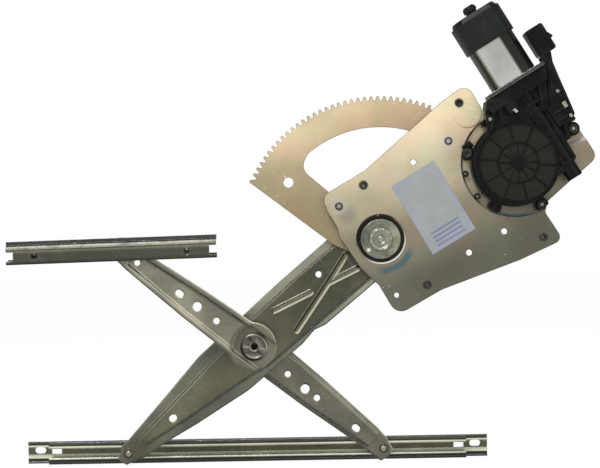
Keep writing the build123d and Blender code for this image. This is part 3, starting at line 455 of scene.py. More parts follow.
pivot = (16.6, -54.1)
drive = (152.5, 19.5)
lobe = (104.8, 70.4)
# Heading of the painted light fall-off on the plate and the sector.
light_falloff_heading = 110.4
nut_places = {
    "locating": (0.0, 0.0), "upper": (97.0, 80.5), "lower": (62.1, -100.8), "right": (179.1, -55.1),
}
pad_places = [(-24.9, -20.7), (85.6, 42.7)]


def plate_tone(tree, coordinates):
    """Painted light fall-off from cream above to olive below, with stains at the pivot, nuts and
    pads, painted light and shade on the slopes and a painted shade ring in the dish.
    """
    fade = [(50, (0.90, 0.80, 0.55)), (-19, (0.52, 0.465, 0.345)), (-55, (0.30, 0.28, 0.205)),
            (-112, (0.130, 0.131, 0.104))]
    level = level_along(tree, coordinates, light_falloff_heading)
    colour = passivation(tree, coordinates, fade_across(tree, level, fade))
    colour = spots(tree, coordinates, colour, [(-16.5, -30.0)], inner=3, outer=13, share=0.5,
                   over=(0.24, 0.235, 0.23))
    heat_blue = crescent(tree, coordinates, pivot, radii=(27.5, 30.0, 33.0, 36.5),
                         side=(36, -84), reach=(14, 27))
    colour = blend_colour(tree, heat_blue, colour, (0.075, 0.140, 0.155))
    colour = spots(tree, coordinates, colour, pad_places, inner=5, outer=12, share=0.45,
                   over=(0.60, 0.60, 0.57))
    flat = spots(tree, coordinates, colour, nut_places.values(), inner=3.8, outer=5.6,
                 share=0.80, over=(0.050, 0.046, 0.038))
    sloped = slope_tone(tree, flat, (0.022, 0.021, 0.018), (0.95, 0.94, 0.88))
    mild = arithmetic(tree, "MULTIPLY", near(tree, coordinates, lobe, 17.5, 20.0), 0.85)
    colour = blend_colour(tree, mild, sloped, flat)
    # Painted shade: a dark ring in the groove round the pivot's dish.
    dish_ring_shade = crescent(tree, coordinates, pivot, radii=(19.5, 20.3, 23.2, 24.0),
                        side=pivot, reach=(30, 32))
    colour = blend_colour(tree, dish_ring_shade, colour, (0.020, 0.019, 0.017))
    teal = crescent(tree, coordinates, drive, radii=(50.0, 51.5, 53.0, 54.5),
                    side=(149, -33), reach=(12, 24))
    return blend_colour(tree, teal, colour, (0.060, 0.150, 0.200))


# Its edges take a dark edge colour: painted shade on the sheet's thickness.
plating = sheet_metal(
    "yellow_zinc", (1.0, 1.0, 1.0), (0.78, 0.74, 0.70), (0.90, 0.87, 0.76), 0.36, edge_wear_light=1.0,
    edge_wear_light_radius=1.9, metallic=0.45, tone_source=plate_tone, stain=0.7, speck=0.55,
    edge=(0.040, 0.034, 0.025), soften=False, calm=(lobe, 15.4, 16.4))
dress(plating, "base_plate")


# Sector gear. Fine-blanked from 2.5 mm sheet and plated with the base plate; its cream is a
# little browner and darkens downwards as painted light fall-off, and the blanked edges of
# teeth and window are painted dark as shade.
def sector_tone(tree, coordinates):
    """Cream that darkens downwards: painted light fall-off, as on the plate."""
    fade = [(80, (0.72, 0.59, 0.39)), (36, (0.48, 0.395, 0.265)), (-10, (0.38, 0.32, 0.205))]
    level = level_along(tree, coordinates, light_falloff_heading)
    return passivation(tree, coordinates, fade_across(tree, level, fade))


# Its edges take a dark edge colour: painted shade on the sheet's thickness.
sector_plating = sheet_metal(
    "sector_zinc", (1.0, 1.0, 1.0), (0.78, 0.73, 0.67), (0.86, 0.82, 0.70), 0.36, edge_wear_light=1.0,
    edge_wear_light_radius=1.6, metallic=0.45, tone_source=sector_tone, stain=0.7, speck=0.55,
    edge=(0.050, 0.046, 0.040), soften=False)
dress(sector_plating, "sector_gear")

# Arms. Pressed from galvanised sheet and left bare, so they are a darker olive grey than the
# plate. Their edges are lighter, partly where tool and stacking have rubbed them and partly as
# painted highlight, and painted shade darkens their steep walls.
scissor = (pivot[0] - 128.86, pivot[1] - 106.22)
rim_depths, bead_depths = (12.5, 14.0), (9.2, 9.5)
wall_radius = 0.0026


def past_depth(tree, coordinates, start, end):
    """Share that grows from one depth along Y to another, in millimetres."""
    depth = shader_node(tree, "SeparateXYZ")
    link(tree, (coordinates, "Object"), depth, "Vector")
    return ramp(tree, (depth, "Y"), 0.001 * start, 0.001 * end)


def upright_share(tree, normal, low, high):
    """Share of the surface by how squarely it faces along Y."""
    turned = shader_node(tree, "SeparateXYZ")
    link(tree, normal, turned, "Vector")
    return ramp(tree, arithmetic(tree, "ABSOLUTE", (turned, "Y")), low, high)


def arm_tone(tree, coordinates):
    """Pale rim and web toward the pivot, painted shade on the walls, painted light and shade on
    slopes and beads, and a tanned tip.
    """
    toward_pivot = near(tree, coordinates, pivot, 75, 185)
    rim = blend_colour(tree, toward_pivot, (0.75, 0.78, 0.77), (2.40, 2.45, 2.40))
    web = blend_colour(tree, toward_pivot, (0.70, 0.68, 0.58), (0.62, 0.62, 0.57))
    base = blend_colour(tree, past_depth(tree, coordinates, *rim_depths), web, rim)
    sloped = slope_tone(tree, base, (0.25, 0.25, 0.22), (2.2, 2.2, 2.1), radius=3.0)
    # Painted shade: steep walls, found by the softened normal, are darkened.
    rounded = shader_node(tree, "Bevel", {"samples": bevel_samples}, Radius=wall_radius)
    wall = upright_share(tree, (rounded, "Normal"), 0.95, 0.80)
    walls_shaded = blend_colour(tree, wall, sloped, (0.06, 0.06, 0.055))
    # Painted light and shade on the beads' slopes.
    beads = slope_tone(tree, (1.0, 1.0, 0.93), (4.5, 4.5, 4.3), (0.13, 0.13, 0.12), radius=1.2)
    pressed = blend_colour(tree, past_depth(tree, coordinates, *bead_depths), beads, walls_shaded)
    return spots(tree, coordinates, pressed, [(-233, -264)], inner=8, outer=30, share=0.55,
                 over=(0.28, 0.26, 0.20))


def half_tone(tree, coordinates):
    """Painted light and shade on the slopes, a ring of painted shade round the scissor rivet and
    painted shade in its bore.
    """
    colour = slope_tone(tree, (1.0, 1.0, 1.0), (0.05, 0.05, 0.045), (2.6, 2.6, 2.7), 3.0, 55)
    # Painted shade in a ring round the scissor rivet.
    disc = crescent(tree, coordinates, scissor, radii=(13, 14, 23, 26), side=scissor,
                    reach=(30, 32))
    shaded = arithmetic(tree, "MULTIPLY", disc, 0.6)
    colour = blend_colour(tree, shaded, colour, (0.30, 0.29, 0.24))
    # Painted shade: the rivet's bore is darkened.
    return spots(tree, coordinates, colour, [scissor], inner=3.0, outer=3.6, share=1.0,
                 over=(0.015, 0.015, 0.015))


arm_metal = sheet_metal(
    "galvanised_arm", (0.235, 0.225, 0.175), (0.130, 0.128, 0.098), (0.74, 0.72, 0.64), 0.32,
    size=1.3, edge_wear_light=0.45, edge_wear_light_radius=1.0, scratch=0.3, metallic=0.75, tone_source=arm_tone)
dress(arm_metal, "lift_arm")
half_metal = sheet_metal(
    "galvanised_half", (0.36, 0.34, 0.265), (0.20, 0.19, 0.145), (0.82, 0.79, 0.70), 0.32,
    size=1.5, edge_wear_light=0.6, edge_wear_light_radius=1.0, scratch=0.3, metallic=0.75, tone_source=half_tone)
dress(half_metal, "equalizer_front_half")
# The rear half takes a darker copy of the front half's finish: painted shade.
rear_half_shaded_metal = sheet_metal(
    "galvanised_rear_shaded", (0.185, 0.178, 0.135), (0.105, 0.100, 0.078), (0.74, 0.72, 0.64), 0.32,
    size=1.5, edge_wear_light=0.6, edge_wear_light_radius=1.0, scratch=0.3, metallic=0.75, tone_source=half_tone)
dress(rear_half_shaded_metal, "equalizer_rear_half")
staked_metal = sheet_metal(
    "staked_steel", (0.165, 0.160, 0.128), (0.085, 0.082, 0.064), (0.50, 0.48, 0.42), 0.36,
    size=3.0, edge_wear_light=0.7, stain=0.8, metallic=0.75, tone_source=half_tone)
dress(staked_metal, "scissor_rivet")


# Roller pins and rollers. The pins are headed steel, seen at the arm tips as a dark ring round
# a bright middle; the rollers and the pivot's slide washer are white acetal, moulded plain.
def pin_tone(tree, coordinates):
    tips = [(-241.1, -266.5), (16.6, -266.5)]
    dark_ring, bright_middle = (0.20, 0.20, 0.17), (1.1, 1.1, 1.0)
    return spots(tree, coordinates, dark_ring, tips, inner=2.2, outer=3.2, share=1.0,
                 over=bright_middle)


pin_metal = sheet_metal(
    "headed_pin", (0.36, 0.34, 0.265), (0.20, 0.19, 0.145), (0.82, 0.79, 0.70), 0.32,
    size=3.0, edge_wear_light=0.3, metallic=0.75, tone_source=pin_tone)
dress(pin_metal, "lift_roller_pin", "rail_roller_pin", "glass_roller_pin")


def moulding(name, base, light, roughness, dust=0.25, gloss=0.3, edge=0.35, tone_source=None):
    """Moulded plastic or rubber: fine tool grain, pale dust and lighter edges, partly wear and
    partly painted highlight.
    """
    smoother, rougher = 0.05, 0.15
    mark_size, edge_radius = 1.8, 0.0006
    grain_scale, grain_strength, grain_depth = 1600.0, 0.12, 0.0003
    made, tree, shader = new_finish(name, 0.0, roughness)
    shader.inputs["Specular IOR Level"].default_value = gloss
    coordinates = shader_node(tree, "TexCoord")
    marks = place_group(tree, marks_group, coordinates, Size=mark_size)
    if tone_source:
        base = tone_source(tree, coordinates)
    dusty = arithmetic(tree, "MULTIPLY", (marks, "Smudges"), dust)
    tone = blend_colour(tree, dusty, base, light)
    edges = place_group(tree, edge_wear_light_group, Radius=edge_radius)
    edge_share = arithmetic(tree, "MULTIPLY", (edges, "Wear_and_painted_light"), edge)
    link(tree, blend_colour(tree, edge_share, tone, light), shader, "Base Color")
    rough = ramp(tree, (marks, "Smudges"), 0.0, 1.0, roughness - smoother, roughness + rougher)
    link(tree, rough, shader, "Roughness")
    tool_grain = noise(tree, (coordinates, "Object"), grain_scale, 2.0)
    surface = bump(tree, tool_grain, grain_strength, grain_depth, (edges, "Normal"))
    link(tree, surface, shader, "Normal")
    return made


acetal = moulding("white_acetal", (0.74, 0.72, 0.65), (0.86, 0.85, 0.80), 0.40, gloss=0.5)
dress(acetal, "lift_roller", "rail_roller", "glass_roller", "pivot_slide_washer", "worm_wheel")


# Rails. The glass channel and the fixed rail are rolled from darker strip; the room's
# reflection in their lips and ribs is painted as light and dark bands along their length.
def bands(tree, level, colour, edges, soft):
    """Colour that steps along a level: edges are (level, colour below it), from the highest."""
    for edge, below in edges:
        colour = blend_colour(tree, ramp(tree, level, edge + soft, edge - soft), colour, below)
    return colour


# Painted reflection: light and dark bands across the fixed rail.
def fixed_rail_tone(tree, coordinates):
    level = level_along(tree, coordinates, 91.15)
    edges = [(-48.8, (1.00, 0.98, 0.94)), (-50.0, (0.46, 0.44, 0.40)), (-52.9, (1.80, 1.70, 1.50)),
             (-54.5, (1.00, 0.92, 0.74)), (-56.0, (0.64, 0.67, 0.57)), (-63.2, (0.48, 0.50, 0.42)),
             (-65.3, (0.12, 0.12, 0.12))]
    return bands(tree, level, (0.26, 0.29, 0.29), edges, 0.6)


# Painted reflection: light and dark bands across the glass channel.
def channel_tone(tree, coordinates):
    level = level_along(tree, coordinates, 90.0)
    edges = [(-256.6, (0.75, 0.76, 0.74)), (-257.6, (0.30, 0.30, 0.28)),
             (-259.4, (6.80, 6.50, 5.90)), (-260.6, (3.00, 2.85, 2.50)),
             (-261.7, (0.85, 0.82, 0.64)), (-268.6, (4.60, 4.65, 4.00)),
             (-270.4, (6.20, 6.20, 5.60)), (-272.6, (0.45, 0.45, 0.45)),
             (-273.5, (0.12, 0.12, 0.14)), (-274.8, (0.55, 0.56, 0.58)),
             (-275.8, (0.30, 0.31, 0.34)), (-276.8, (0.06, 0.06, 0.07))]
    return bands(tree, level, (0.42, 0.42, 0.40), edges, 0.4)


rail_metal = sheet_metal(
    "rolled_rail", (0.125, 0.127, 0.108), (0.090, 0.092, 0.078), (0.80, 0.80, 0.75), 0.33,
    size=1.1, edge_wear_light=0.35, scratch=0.25, metallic=0.7, tone_source=fixed_rail_tone)
dress(rail_metal, "fixed_guide_rail")
channel_metal = sheet_metal(
    "rolled_channel", (0.125, 0.127, 0.108), (0.090, 0.092, 0.078), (0.80, 0.80, 0.75), 0.33,
    size=1.1, edge_wear_light=0.35, scratch=0.25, metallic=0.7, tone_source=channel_tone)
dress(channel_metal, "glass_channel")


# Main pivot. A headed steel rivet between two turned washers, all zinc plated. The front
# washer carries a painted highlight at its right and is nicked at its lower left.
def washer_tone(tree, coordinates):
    # Painted highlight across the washer's right side.
    lit_right_side, nick = [(33.5, -57.0)], [(4.4, -64.9)]
    lit = spots(tree, coordinates, (0.85, 0.90, 0.86), lit_right_side, inner=5, outer=19, share=0.9,
                over=(1.75, 1.70, 1.45))
    return spots(tree, coordinates, lit, nick, inner=1.2, outer=2.4, share=1.0,
                 over=(3.2, 3.2, 3.0))


pivot_metal = sheet_metal(
    "pivot_zinc", (0.32, 0.32, 0.26), (0.13, 0.13, 0.105), (0.70, 0.69, 0.62), 0.33, size=4.0,
    scratch=0.6, stain=0.8, edge_wear_light=0.8, tone_source=washer_tone)
dress(pivot_metal, "main_pivot_rivet", "pivot_front_washer", "pivot_rear_washer")

# Clinch nuts, guide pads and small rivets. The nuts and the motor's screws are turned and
# phosphated black; the plate nuts' floors are painted grey, painted light against the bore's
# shade, and the rail nuts carry a painted glint. The pads are riveted on, pale in a dark ring.
rail_nut_places = {"rail_left": (-327.9, -65.2), "rail_right": (-176.9, -62.2)}
glint_rise = 1.8


def nut_tone(tree, coordinates):
    # Painted light: the shaded floors of the plate nuts' bores are painted grey; the rail nuts get
    # painted glints.
    lit_floors = spots(tree, coordinates, (1.0, 1.0, 1.0), nut_places.values(), inner=1.7,
                   outer=2.2, share=1.0, over=(7.0, 6.9, 6.2))
    glints = [(x, z + glint_rise) for x, z in rail_nut_places.values()]
    return spots(tree, coordinates, lit_floors, glints, inner=0.9, outer=1.6, share=1.0,
                 over=(14.0, 14.0, 13.0))


def pad_tone(tree, coordinates):
    ring, middle = (0.16, 0.20, 0.24), (1.5, 1.62, 1.75)
    dark = spots(tree, coordinates, (1.0, 1.0, 1.0), pad_places, inner=3.8, outer=4.2,
                 share=1.0, over=ring)
    return spots(tree, coordinates, dark, pad_places, inner=1.9, outer=2.6, share=1.0,
                 over=middle)


dark_metal = sheet_metal(
    "black_phosphate", (0.050, 0.048, 0.042), (0.020, 0.019, 0.017), (0.30, 0.29, 0.26), 0.45,
    size=4.0, tone_source=nut_tone)
dress(dark_metal, "clinch_nuts", "rail_clinch_nuts", "motor_screws")
rivet_metal = sheet_metal(
    "bright_rivet", (0.36, 0.35, 0.29), (0.18, 0.175, 0.145), (0.80, 0.79, 0.73), 0.32,
    size=4.0, edge_wear_light=0.8)
dress(rivet_metal, "arm_rivets")
pad_metal = sheet_metal(
    "guide_pad", (0.36, 0.35, 0.29), (0.18, 0.175, 0.145), (0.80, 0.79, 0.73), 0.32,
    size=4.0, tone_source=pad_tone)
dress(pad_metal, "sector_guide_pads")

# Shafts and bushes. The pinion, shafts and thrust pad are turned from bright steel; the
# scissor's bush and the shaft's bearings are pressed and sintered from oiled bronze.
steel = sheet_metal(
    "turned_steel", (0.46, 0.46, 0.45), (0.28, 0.28, 0.27), (0.80, 0.80, 0.78), 0.28, size=3.0)
dress(steel, "output_shaft", "drive_pinion", "armature_shaft", "thrust_pad")
bronze = sheet_metal(
    "sintered_bronze", (0.40, 0.27, 0.13), (0.24, 0.16, 0.08), (0.66, 0.50, 0.30), 0.42, size=3.0)
dress(bronze, "scissor_bush", "shaft_bearings")


# Rivet heads. The main pivot's head carries a ring of stake marks round a hollow centre; the
# scissor rivet's is pressed into three spokes round its bore. Both are cold formed.
def start_piece(name):
    """A single vertex at the origin, in edit mode, ready to be drawn out."""
    bpy.ops.object.select_all(action="DESELECT")
    bpy.ops.mesh.primitive_plane_add(size=0.01, location=(0, 0, 0))
    piece = bpy.context.object
    piece.name = name
    bpy.ops.object.mode_set(mode="EDIT")
    bpy.ops.mesh.select_mode(type="VERT")
    bpy.ops.mesh.select_all(action="SELECT")
    bpy.ops.mesh.merge(type="CENTER")
    return piece


def draw_line(points):
    """Draws edges from point to point, in millimetres."""
    bpy.ops.transform.translate(value=[0.001 * c for c in points[0]])
    for start, end in zip(points, points[1:]):
        step = [0.001 * (b - a) for a, b in zip(start, end)]
        bpy.ops.mesh.extrude_vertices_move(TRANSFORM_OT_translate={"value": step})
    bpy.ops.mesh.select_all(action="SELECT")


def close_mesh():
    """Merges the seam, turns the faces outwards and leaves edit mode."""
    bpy.ops.mesh.select_all(action="SELECT")
    bpy.ops.mesh.remove_doubles(threshold=1e-6)
    bpy.ops.mesh.normals_make_consistent(inside=False)
    bpy.ops.mesh.select_all(action="DESELECT")
    bpy.ops.object.mode_set(mode="OBJECT")


def lathe(name, profile, steps):
    """Piece turned about the Y axis: profile is (radius, depth) in millimetres."""
    piece = start_piece(name)
    draw_line([(radius, depth, 0) for radius, depth in profile])
    bpy.ops.mesh.spin(steps=steps, angle=2 * math.pi, center=(0, 0, 0), axis=(0, 1, 0))
    close_mesh()
    return piece


def press_faces(piece, chosen, inset, depth):
    """Insets the chosen faces of a piece and moves them in by a depth, in millimetres."""
    for face in piece.data.polygons:
        face.select = chosen(face.center * 1000, face.normal)
    bpy.ops.object.mode_set(mode="EDIT")
    bpy.ops.mesh.select_mode(type="FACE")
    bpy.ops.mesh.inset(thickness=0.001 * inset, depth=-0.001 * depth)
    bpy.ops.mesh.select_all(action="DESELECT")
    bpy.ops.object.mode_set(mode="OBJECT")


def take_up(piece):
    """Selects one piece alone."""
    bpy.ops.object.select_all(action="DESELECT")
    piece.select_set(True)
    bpy.context.view_layer.objects.active = piece


def shift_piece(piece, place, depth=0.0):
    """Moves a piece to its place and depth in the row frame by its own mesh."""
    take_up(piece)
    piece.location = (0.001 * place[0], 0.001 * depth, 0.001 * place[1])
    bpy.ops.object.transform_apply(location=True, rotation=True, scale=True)


smooth_below = math.radians(35)


def finish_piece(piece, body, material):
    """Smooths a piece's round faces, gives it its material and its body."""
    take_up(piece)
    bpy.ops.object.shade_smooth_by_angle(angle=smooth_below)
    piece.data.materials.append(material)
    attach(piece, body)


def from_axis(at):
    return math.hypot(at.x, at.z)


def heading_of(point):
    return math.degrees(math.atan2(point.z, point.x)) % 360


def stake_mark(at, facing):
    """Ten short marks along the crest of the staked ring."""
    return facing.y < -0.8 and 9.6 < from_axis(at) < 10.9 and heading_of(at) % 36 < 20


def dome_crest(at, facing):
    """Upper and lower part of the centre dome, pressed a little proud of it."""
    return facing.y < -0.6 and 60 < heading_of(at) % 180 < 120 and from_axis(at) > 1.0


stake_ring = lathe("pivot_stake_ring", [
    (8.4, 1.04), (8.9, 0.55), (9.6, 0.35), (10.9, 0.45), (11.6, 1.05), (12.05, 2.35), (11.0, 1.9),
    (8.4, 1.04)], 60)
press_faces(stake_ring, stake_mark, inset=0.15, depth=0.45)
shift_piece(stake_ring, pivot)
finish_piece(stake_ring, "base", rivet_metal)
stake_dome = lathe("pivot_centre_dome", [
    (0, 0.9), (1.3, 1.0), (2.6, 1.5), (3.2, 1.95), (3.0, 2.05), (0, 2.05)], 36)
press_faces(stake_dome, dome_crest, inset=0.12, depth=-0.35)
shift_piece(stake_dome, pivot)
finish_piece(stake_dome, "base", rivet_metal)

spoke_headings = (92, 197, 330)
spoke_half_width = 16


def between_spokes(at, facing):
    """The three sunk fields that leave the spokes standing."""
    away = min(abs((heading_of(at) - heading + 180) % 360 - 180) for heading in spoke_headings)
    return facing.y < -0.8 and 5.0 < from_axis(at) < 11.0 and away > spoke_half_width


spokes = lathe("scissor_spokes", [
    (3.45, 5.35), (3.5, 4.75), (4.4, 4.45), (5.0, 4.4), (11.0, 4.4), (12.0, 4.4), (13.2, 4.7),
    (13.6, 5.15), (3.45, 5.35)], 72)
press_faces(spokes, between_spokes, inset=0.5, depth=0.45)
shift_piece(spokes, scissor)
finish_piece(spokes, "equalizer", staked_metal)

# Nut threads. Every pressed-in nut is tapped M6, and three turns of its rolled thread stand
# in the mouth of the bore.
thread_crest, thread_root = 2.15, 2.55
thread_pitch = 0.001
rail_nut_depth = -18.0


def spread(piece, places):
    """Copies of a piece drawn at the origin, each with its own mesh, at (place, depth)."""
    doubles = []
    for name, (place, depth) in places.items():
        double = piece.copy()
        double.data = piece.data.copy()
        double.name = piece.name + "_" + name
        bpy.context.scene.collection.objects.link(double)
        shift_piece(double, place, depth)
        doubles.append(double)
    bpy.data.objects.remove(piece)
    return doubles


thread = start_piece("nut_thread")
draw_line([(thread_root, 0.45, 0), (thread_crest, 0.7, 0), (thread_root, 0.95, 0)])
bpy.ops.object.mode_set(mode="OBJECT")
winding = thread.modifiers.new("thread", "SCREW")
winding.axis, winding.screw_offset = "Y", thread_pitch
winding.iterations, winding.steps = 3, 24
bpy.ops.object.modifier_apply(modifier="thread")
thread_places = {name: (place, 0.0) for name, place in nut_places.items()}
for name, place in rail_nut_places.items():
    thread_places[name] = (place, rail_nut_depth)
for ring in spread(thread, thread_places):
    finish_piece(ring, "base", dark_metal)


# Motor can and its flange. Deep drawn from steel sheet and zinc plated. The room's reflection
# is painted on the can: the flat turned to the room is painted bright, its lower strip and the
# round sides painted dark.
def can_tone(tree, coordinates):
    # Painted reflection: bright across the flat, dark on its lower strip and round sides.
    across = level_along(tree, coordinates, 211.3)
    edges = [(-161.8, (1.0, 1.0, 1.0)), (-188.4, (0.05, 0.055, 0.045))]
    striped = bands(tree, across, (0.060, 0.056, 0.036), edges, 1.6)
    flat = upright_share(tree, (coordinates, "Normal"), 0.45, 0.75)
    return blend_colour(tree, flat, (0.050, 0.048, 0.036), striped)


can_metal = sheet_metal(
    "can_zinc", (0.60, 0.60, 0.56), (0.42, 0.42, 0.39), (0.80, 0.80, 0.78), 0.30, size=1.6,
    edge_wear_light=0.2, tone_source=can_tone)
dress(can_metal, "motor_can")
flange_metal = sheet_metal(
    "flange_zinc", (0.085, 0.085, 0.078), (0.045, 0.045, 0.040), (0.66, 0.66, 0.62), 0.34,
    size=2.0, edge_wear_light=0.7)
dress(flange_metal, "motor_flange")


# Gearbox mouldings. Housings and cover are black glass-filled nylon, screwed together over a
# rubber seal. The cover's raised ribs are wiped clean, darker than the dusty panels between.
rib_depths = (-19.0, -19.5)


def cover_tone(tree, coordinates):
    raised = past_depth(tree, coordinates, *rib_depths)
    return blend_colour(tree, raised, (0.0125, 0.0150, 0.0105), (0.0030, 0.0035, 0.0028))


# The housing's lighter edges are partly wear and partly painted glints.
housing_black = moulding("housing_nylon", (0.0022, 0.0032, 0.0024), (0.075, 0.082, 0.074), 0.33,
                         dust=0.10, edge=0.7, gloss=0.14)
dress(housing_black, "gear_housing", "electronics_housing", "brush_holder")
cover_black = moulding("cover_nylon", (1.0, 1.0, 1.0), (0.050, 0.055, 0.045), 0.42,
                       dust=0.10, edge=0.12, gloss=0.12, tone_source=cover_tone)
dress(cover_black, "gear_cover")
cap_black = moulding("cap_paint", (0.0085, 0.0110, 0.0090), (0.070, 0.078, 0.070), 0.40,
                     dust=0.12, gloss=0.18)
dress(cap_black, "motor_end_cap")
rubber = moulding("black_rubber", (0.012, 0.012, 0.012), (0.05, 0.05, 0.05), 0.65)
dress(rubber, "cover_seal", "wheel_damper")

# Inside of motor and gearbox. Ferrite magnets and carbon brushes, a stack of laminations on
# the shaft, a copper commutator, the circuit board and its tinned contacts.
ferrite = moulding("ferrite", (0.045, 0.045, 0.048), (0.14, 0.14, 0.14), 0.55)
dress(ferrite, "field_magnets", "brushes")
board = moulding("board_green", (0.02, 0.11, 0.04), (0.10, 0.24, 0.12), 0.35, gloss=0.5)
dress(board, "circuit_board")
brass = sheet_metal(
    "tinned_brass", (0.62, 0.55, 0.36), (0.44, 0.38, 0.22), (0.85, 0.80, 0.66), 0.25, size=4.0)
dress(brass, "connector_contacts")
core_metal = sheet_metal(
    "core_lamination", (0.16, 0.12, 0.09), (0.08, 0.06, 0.05), (0.34, 0.28, 0.22), 0.5, size=4.0)
dress(core_metal, "armature_core")
copper = sheet_metal(
    "commutator_copper", (0.62, 0.30, 0.18), (0.36, 0.17, 0.10), (0.85, 0.55, 0.40), 0.3, size=4.0)
dress(copper, "commutator")

# Gearbox webs and ribs. Part of the housing's moulding: it is webbed out to its side lug,
# ribbed beside the tube and stepped on the electronics box, all with eased edges.
motor_heading = math.radians(121.3)


def from_gearbox(u, v):
    """Place of a point given along and across the motor from the output shaft."""
    return (drive[0] + u * math.cos(motor_heading) - v * math.sin(motor_heading),
            drive[1] + u * math.sin(motor_heading) + v * math.cos(motor_heading))


def block(name, corners, front, rear, ease):
    """Block on an outline given along and across the motor, between two depths."""
    piece = start_piece(name)
    places = [from_gearbox(u, v) for u, v in corners]
    draw_line([(x, front, z) for x, z in places])
    bpy.ops.mesh.edge_face_add()
    thickness = (0, 0.001 * (rear - front), 0)
    bpy.ops.mesh.extrude_region_move(TRANSFORM_OT_translate={"value": thickness})
    bpy.ops.mesh.select_all(action="SELECT")
    bpy.ops.mesh.bevel(offset=0.001 * ease, segments=2, affect="EDGES")
    close_mesh()
    return piece


# name: outline, front depth, rear depth, eased edge
webs_and_ribs = {
    "lug_bridge": ([(9, -52.6), (9, -72.6), (6.4, -73.2), (4.6, -71), (6, -66), (4.2, -60.5),
                    (-8, -58.5), (-8, -52.6)], -11.0, -0.6, 0.8),
    "bridge_rib": ([(9.5, -59), (9.5, -61), (-2, -59.4), (-6, -54), (-4, -53.5)],
                   -14.0, -10.5, 0.4),
    "tube_rib_upper": ([(33, -36), (35, -36), (35, -51), (33, -51)], -22.5, -15.0, 0.4),
    "tube_rib_lower": ([(40, -37), (42, -37), (42, -55), (40, -54)], -22.5, -15.0, 0.4),
    "shoulder_rib_left": ([(34, 16), (36, 17), (46, 3), (44, 2)], -22.0, -15.0, 0.4),
    "shoulder_pad": ([(39, -6), (47, -9), (45, -15.5), (38, -13.5)], -22.5, -15.0, 0.7),
    "lug_block_left": ([(37, 26), (44, 28), (43, 37), (36, 38)], -5.5, 1.0, 0.7),
    "box_step": ([(30, -62), (46, -67.5), (46, -72), (30, -70)], -24.0, -20.5, 0.7),
    "box_rib_outer": ([(12, -55), (14, -55), (14, -71), (12, -71)], -23.0, -20.5, 0.4),
    "box_rib_inner": ([(20, -55), (22, -55), (22, -72), (20, -72)], -23.0, -20.5, 0.4),
    "socket_rib_left": ([(77.5, -76), (103, -76), (103, -77.2), (77.5, -77.2)],
                        -20.2, -18.5, 0.3),
    "socket_rib_right": ([(77.5, -89), (103, -89), (103, -90.2), (77.5, -90.2)],
                         -20.2, -18.5, 0.3),
    "collar_web": ([(46.5, 3), (53.5, 3), (53.5, 9), (47.5, 10)], -9.0, -0.6, 0.6),
    "neck_block": ([(69, -72), (75.5, -72), (75.5, -78), (69, -78)], -19.5, -12.0, 0.6),
}
for name, (corners, front, rear, ease) in webs_and_ribs.items():
    moulded = block(name, corners, front, rear, ease)
    finish_piece(moulded, "base", housing_black)


# Clips, screws and studs of the gearbox. Bright plated steel: two spring clips bent from
# strip, five small socket screws, and two studs that stand in rubber grommets on the plate.
def outer_face(at, facing):
    """The flat side toward the cabin."""
    return facing.y < -0.9


def screw_socket(at, facing):
    """The flat middle of the head, without its rounded edge."""
    return facing.y < -0.99


spring_clip = block("spring_clip", [(20.6, -66.8), (26.8, -66.8), (26.8, -70.6), (20.6, -70.6)],
                    -24.0, -20.6, 0.5)
press_faces(spring_clip, outer_face, inset=0.8, depth=0.6)
finish_piece(spring_clip, "base", rivet_metal)
tube_clip = block("tube_clip", [(42.0, -23.4), (46.4, -21.6), (46.8, -24.6), (42.6, -26.2)],
                  -26.4, -24.6, 0.4)
press_faces(tube_clip, outer_face, inset=0.6, depth=0.4)
finish_piece(tube_clip, "base", rivet_metal)

small_screw = lathe("housing_screw", [
    (0, -1.0), (1.1, -1.0), (1.7, -0.75), (1.95, -0.3), (1.95, 0.2), (0, 0.2)], 24)
press_faces(small_screw, screw_socket, inset=0.35, depth=0.4)
screw_places = {
    "collar": (from_gearbox(50.6, 1.4), -23.2), "lid": (from_gearbox(38.8, -69.4), -24.0),
    "box": (from_gearbox(11.4, -68.0), -23.0), "lug": (from_gearbox(-1.3, -66.1), -6.6),
    "cup": (from_gearbox(-48.5, 0.6), -6.6),
}
for head in spread(small_screw, screw_places):
    finish_piece(head, "base", rivet_metal)

stud_places = {"upper": (from_gearbox(17.6, 48.2), 0.0), "lower": (from_gearbox(-7.8, 50.0), 0.0)}
grommet = lathe("stud_grommet", [
    (1.5, 3.9), (1.5, -0.2), (2.0, -0.8), (2.8, -0.8), (3.3, -0.2), (3.3, 3.9), (1.5, 3.9)], 32)
for ring in spread(grommet, stud_places):
    finish_piece(ring, "base", rubber)
stud = lathe("stud_pin", [(0, -1.4), (0.8, -1.3), (1.25, -0.7), (1.25, 3.9), (0, 3.9)], 24)
for pin in spread(stud, stud_places):
    finish_piece(pin, "base", rivet_metal)

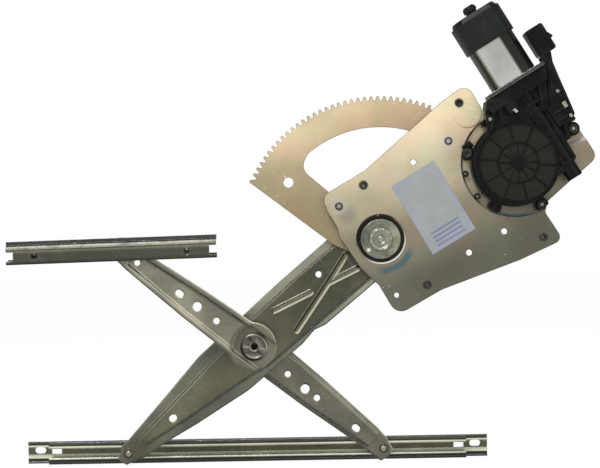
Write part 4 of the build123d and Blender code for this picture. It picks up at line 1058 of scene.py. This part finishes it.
# Label. Printed film stuck to the plate, here blank: a pale border, a grey panel and plain
# blue bars across its lower end.
label_middle = (0.0696, 0.0, -0.0236)
label_turn = math.radians(120.5)
panel_half_length, panel_half_width = 36.0, 21.0
border_soft = 0.6
bar_pitch = 4.488
bar_start, bar_half_length, bar_soft = -18.0, 16.5, 0.45
panel_grey, border_grey = (0.265, 0.290, 0.288), (0.265, 0.280, 0.320)
bar_blue = (0.14, 0.15, 0.30)


def label_tone(tree, coordinates):
    centred = shader_node(tree, "VectorMath", {"operation": "SUBTRACT"})
    link(tree, (coordinates, "Object"), centred, 0)
    centred.inputs[1].default_value = label_middle
    turned = shader_node(tree, "Mapping", Rotation=(0, label_turn, 0), Scale=(1000, 1000, 1000))
    link(tree, (centred, "Vector"), turned, "Vector")
    parted = shader_node(tree, "SeparateXYZ")
    link(tree, (turned, "Vector"), parted, "Vector")
    along = arithmetic(tree, "ABSOLUTE", (parted, "X"))
    across = arithmetic(tree, "ABSOLUTE", (parted, "Z"))
    end_border = ramp(tree, along, panel_half_length, panel_half_length + border_soft)
    side_border = ramp(tree, across, panel_half_width, panel_half_width + border_soft)
    border = arithmetic(tree, "MAXIMUM", end_border, side_border)
    panel = blend_colour(tree, border, panel_grey, border_grey)
    wave = arithmetic(tree, "MULTIPLY", (parted, "X"), 2 * math.pi / bar_pitch)
    stripe = ramp(tree, arithmetic(tree, "SINE", wave), 0.35, 0.55)
    below_start = ramp(tree, (parted, "X"), bar_start, bar_start - bar_soft)
    within_ends = ramp(tree, across, bar_half_length, bar_half_length - bar_soft)
    inside = arithmetic(tree, "SUBTRACT", below_start, border)
    bar_field = arithmetic(tree, "MULTIPLY", inside, within_ends)
    printed = arithmetic(tree, "MULTIPLY", bar_field, stripe)
    return blend_colour(tree, arithmetic(tree, "MAXIMUM", printed), panel, bar_blue)


label_film = moulding("label_film", panel_grey, (0.44, 0.46, 0.50), 0.5, dust=0.15, edge=0.0,
                      tone_source=label_tone)
dress(label_film, "data_label")
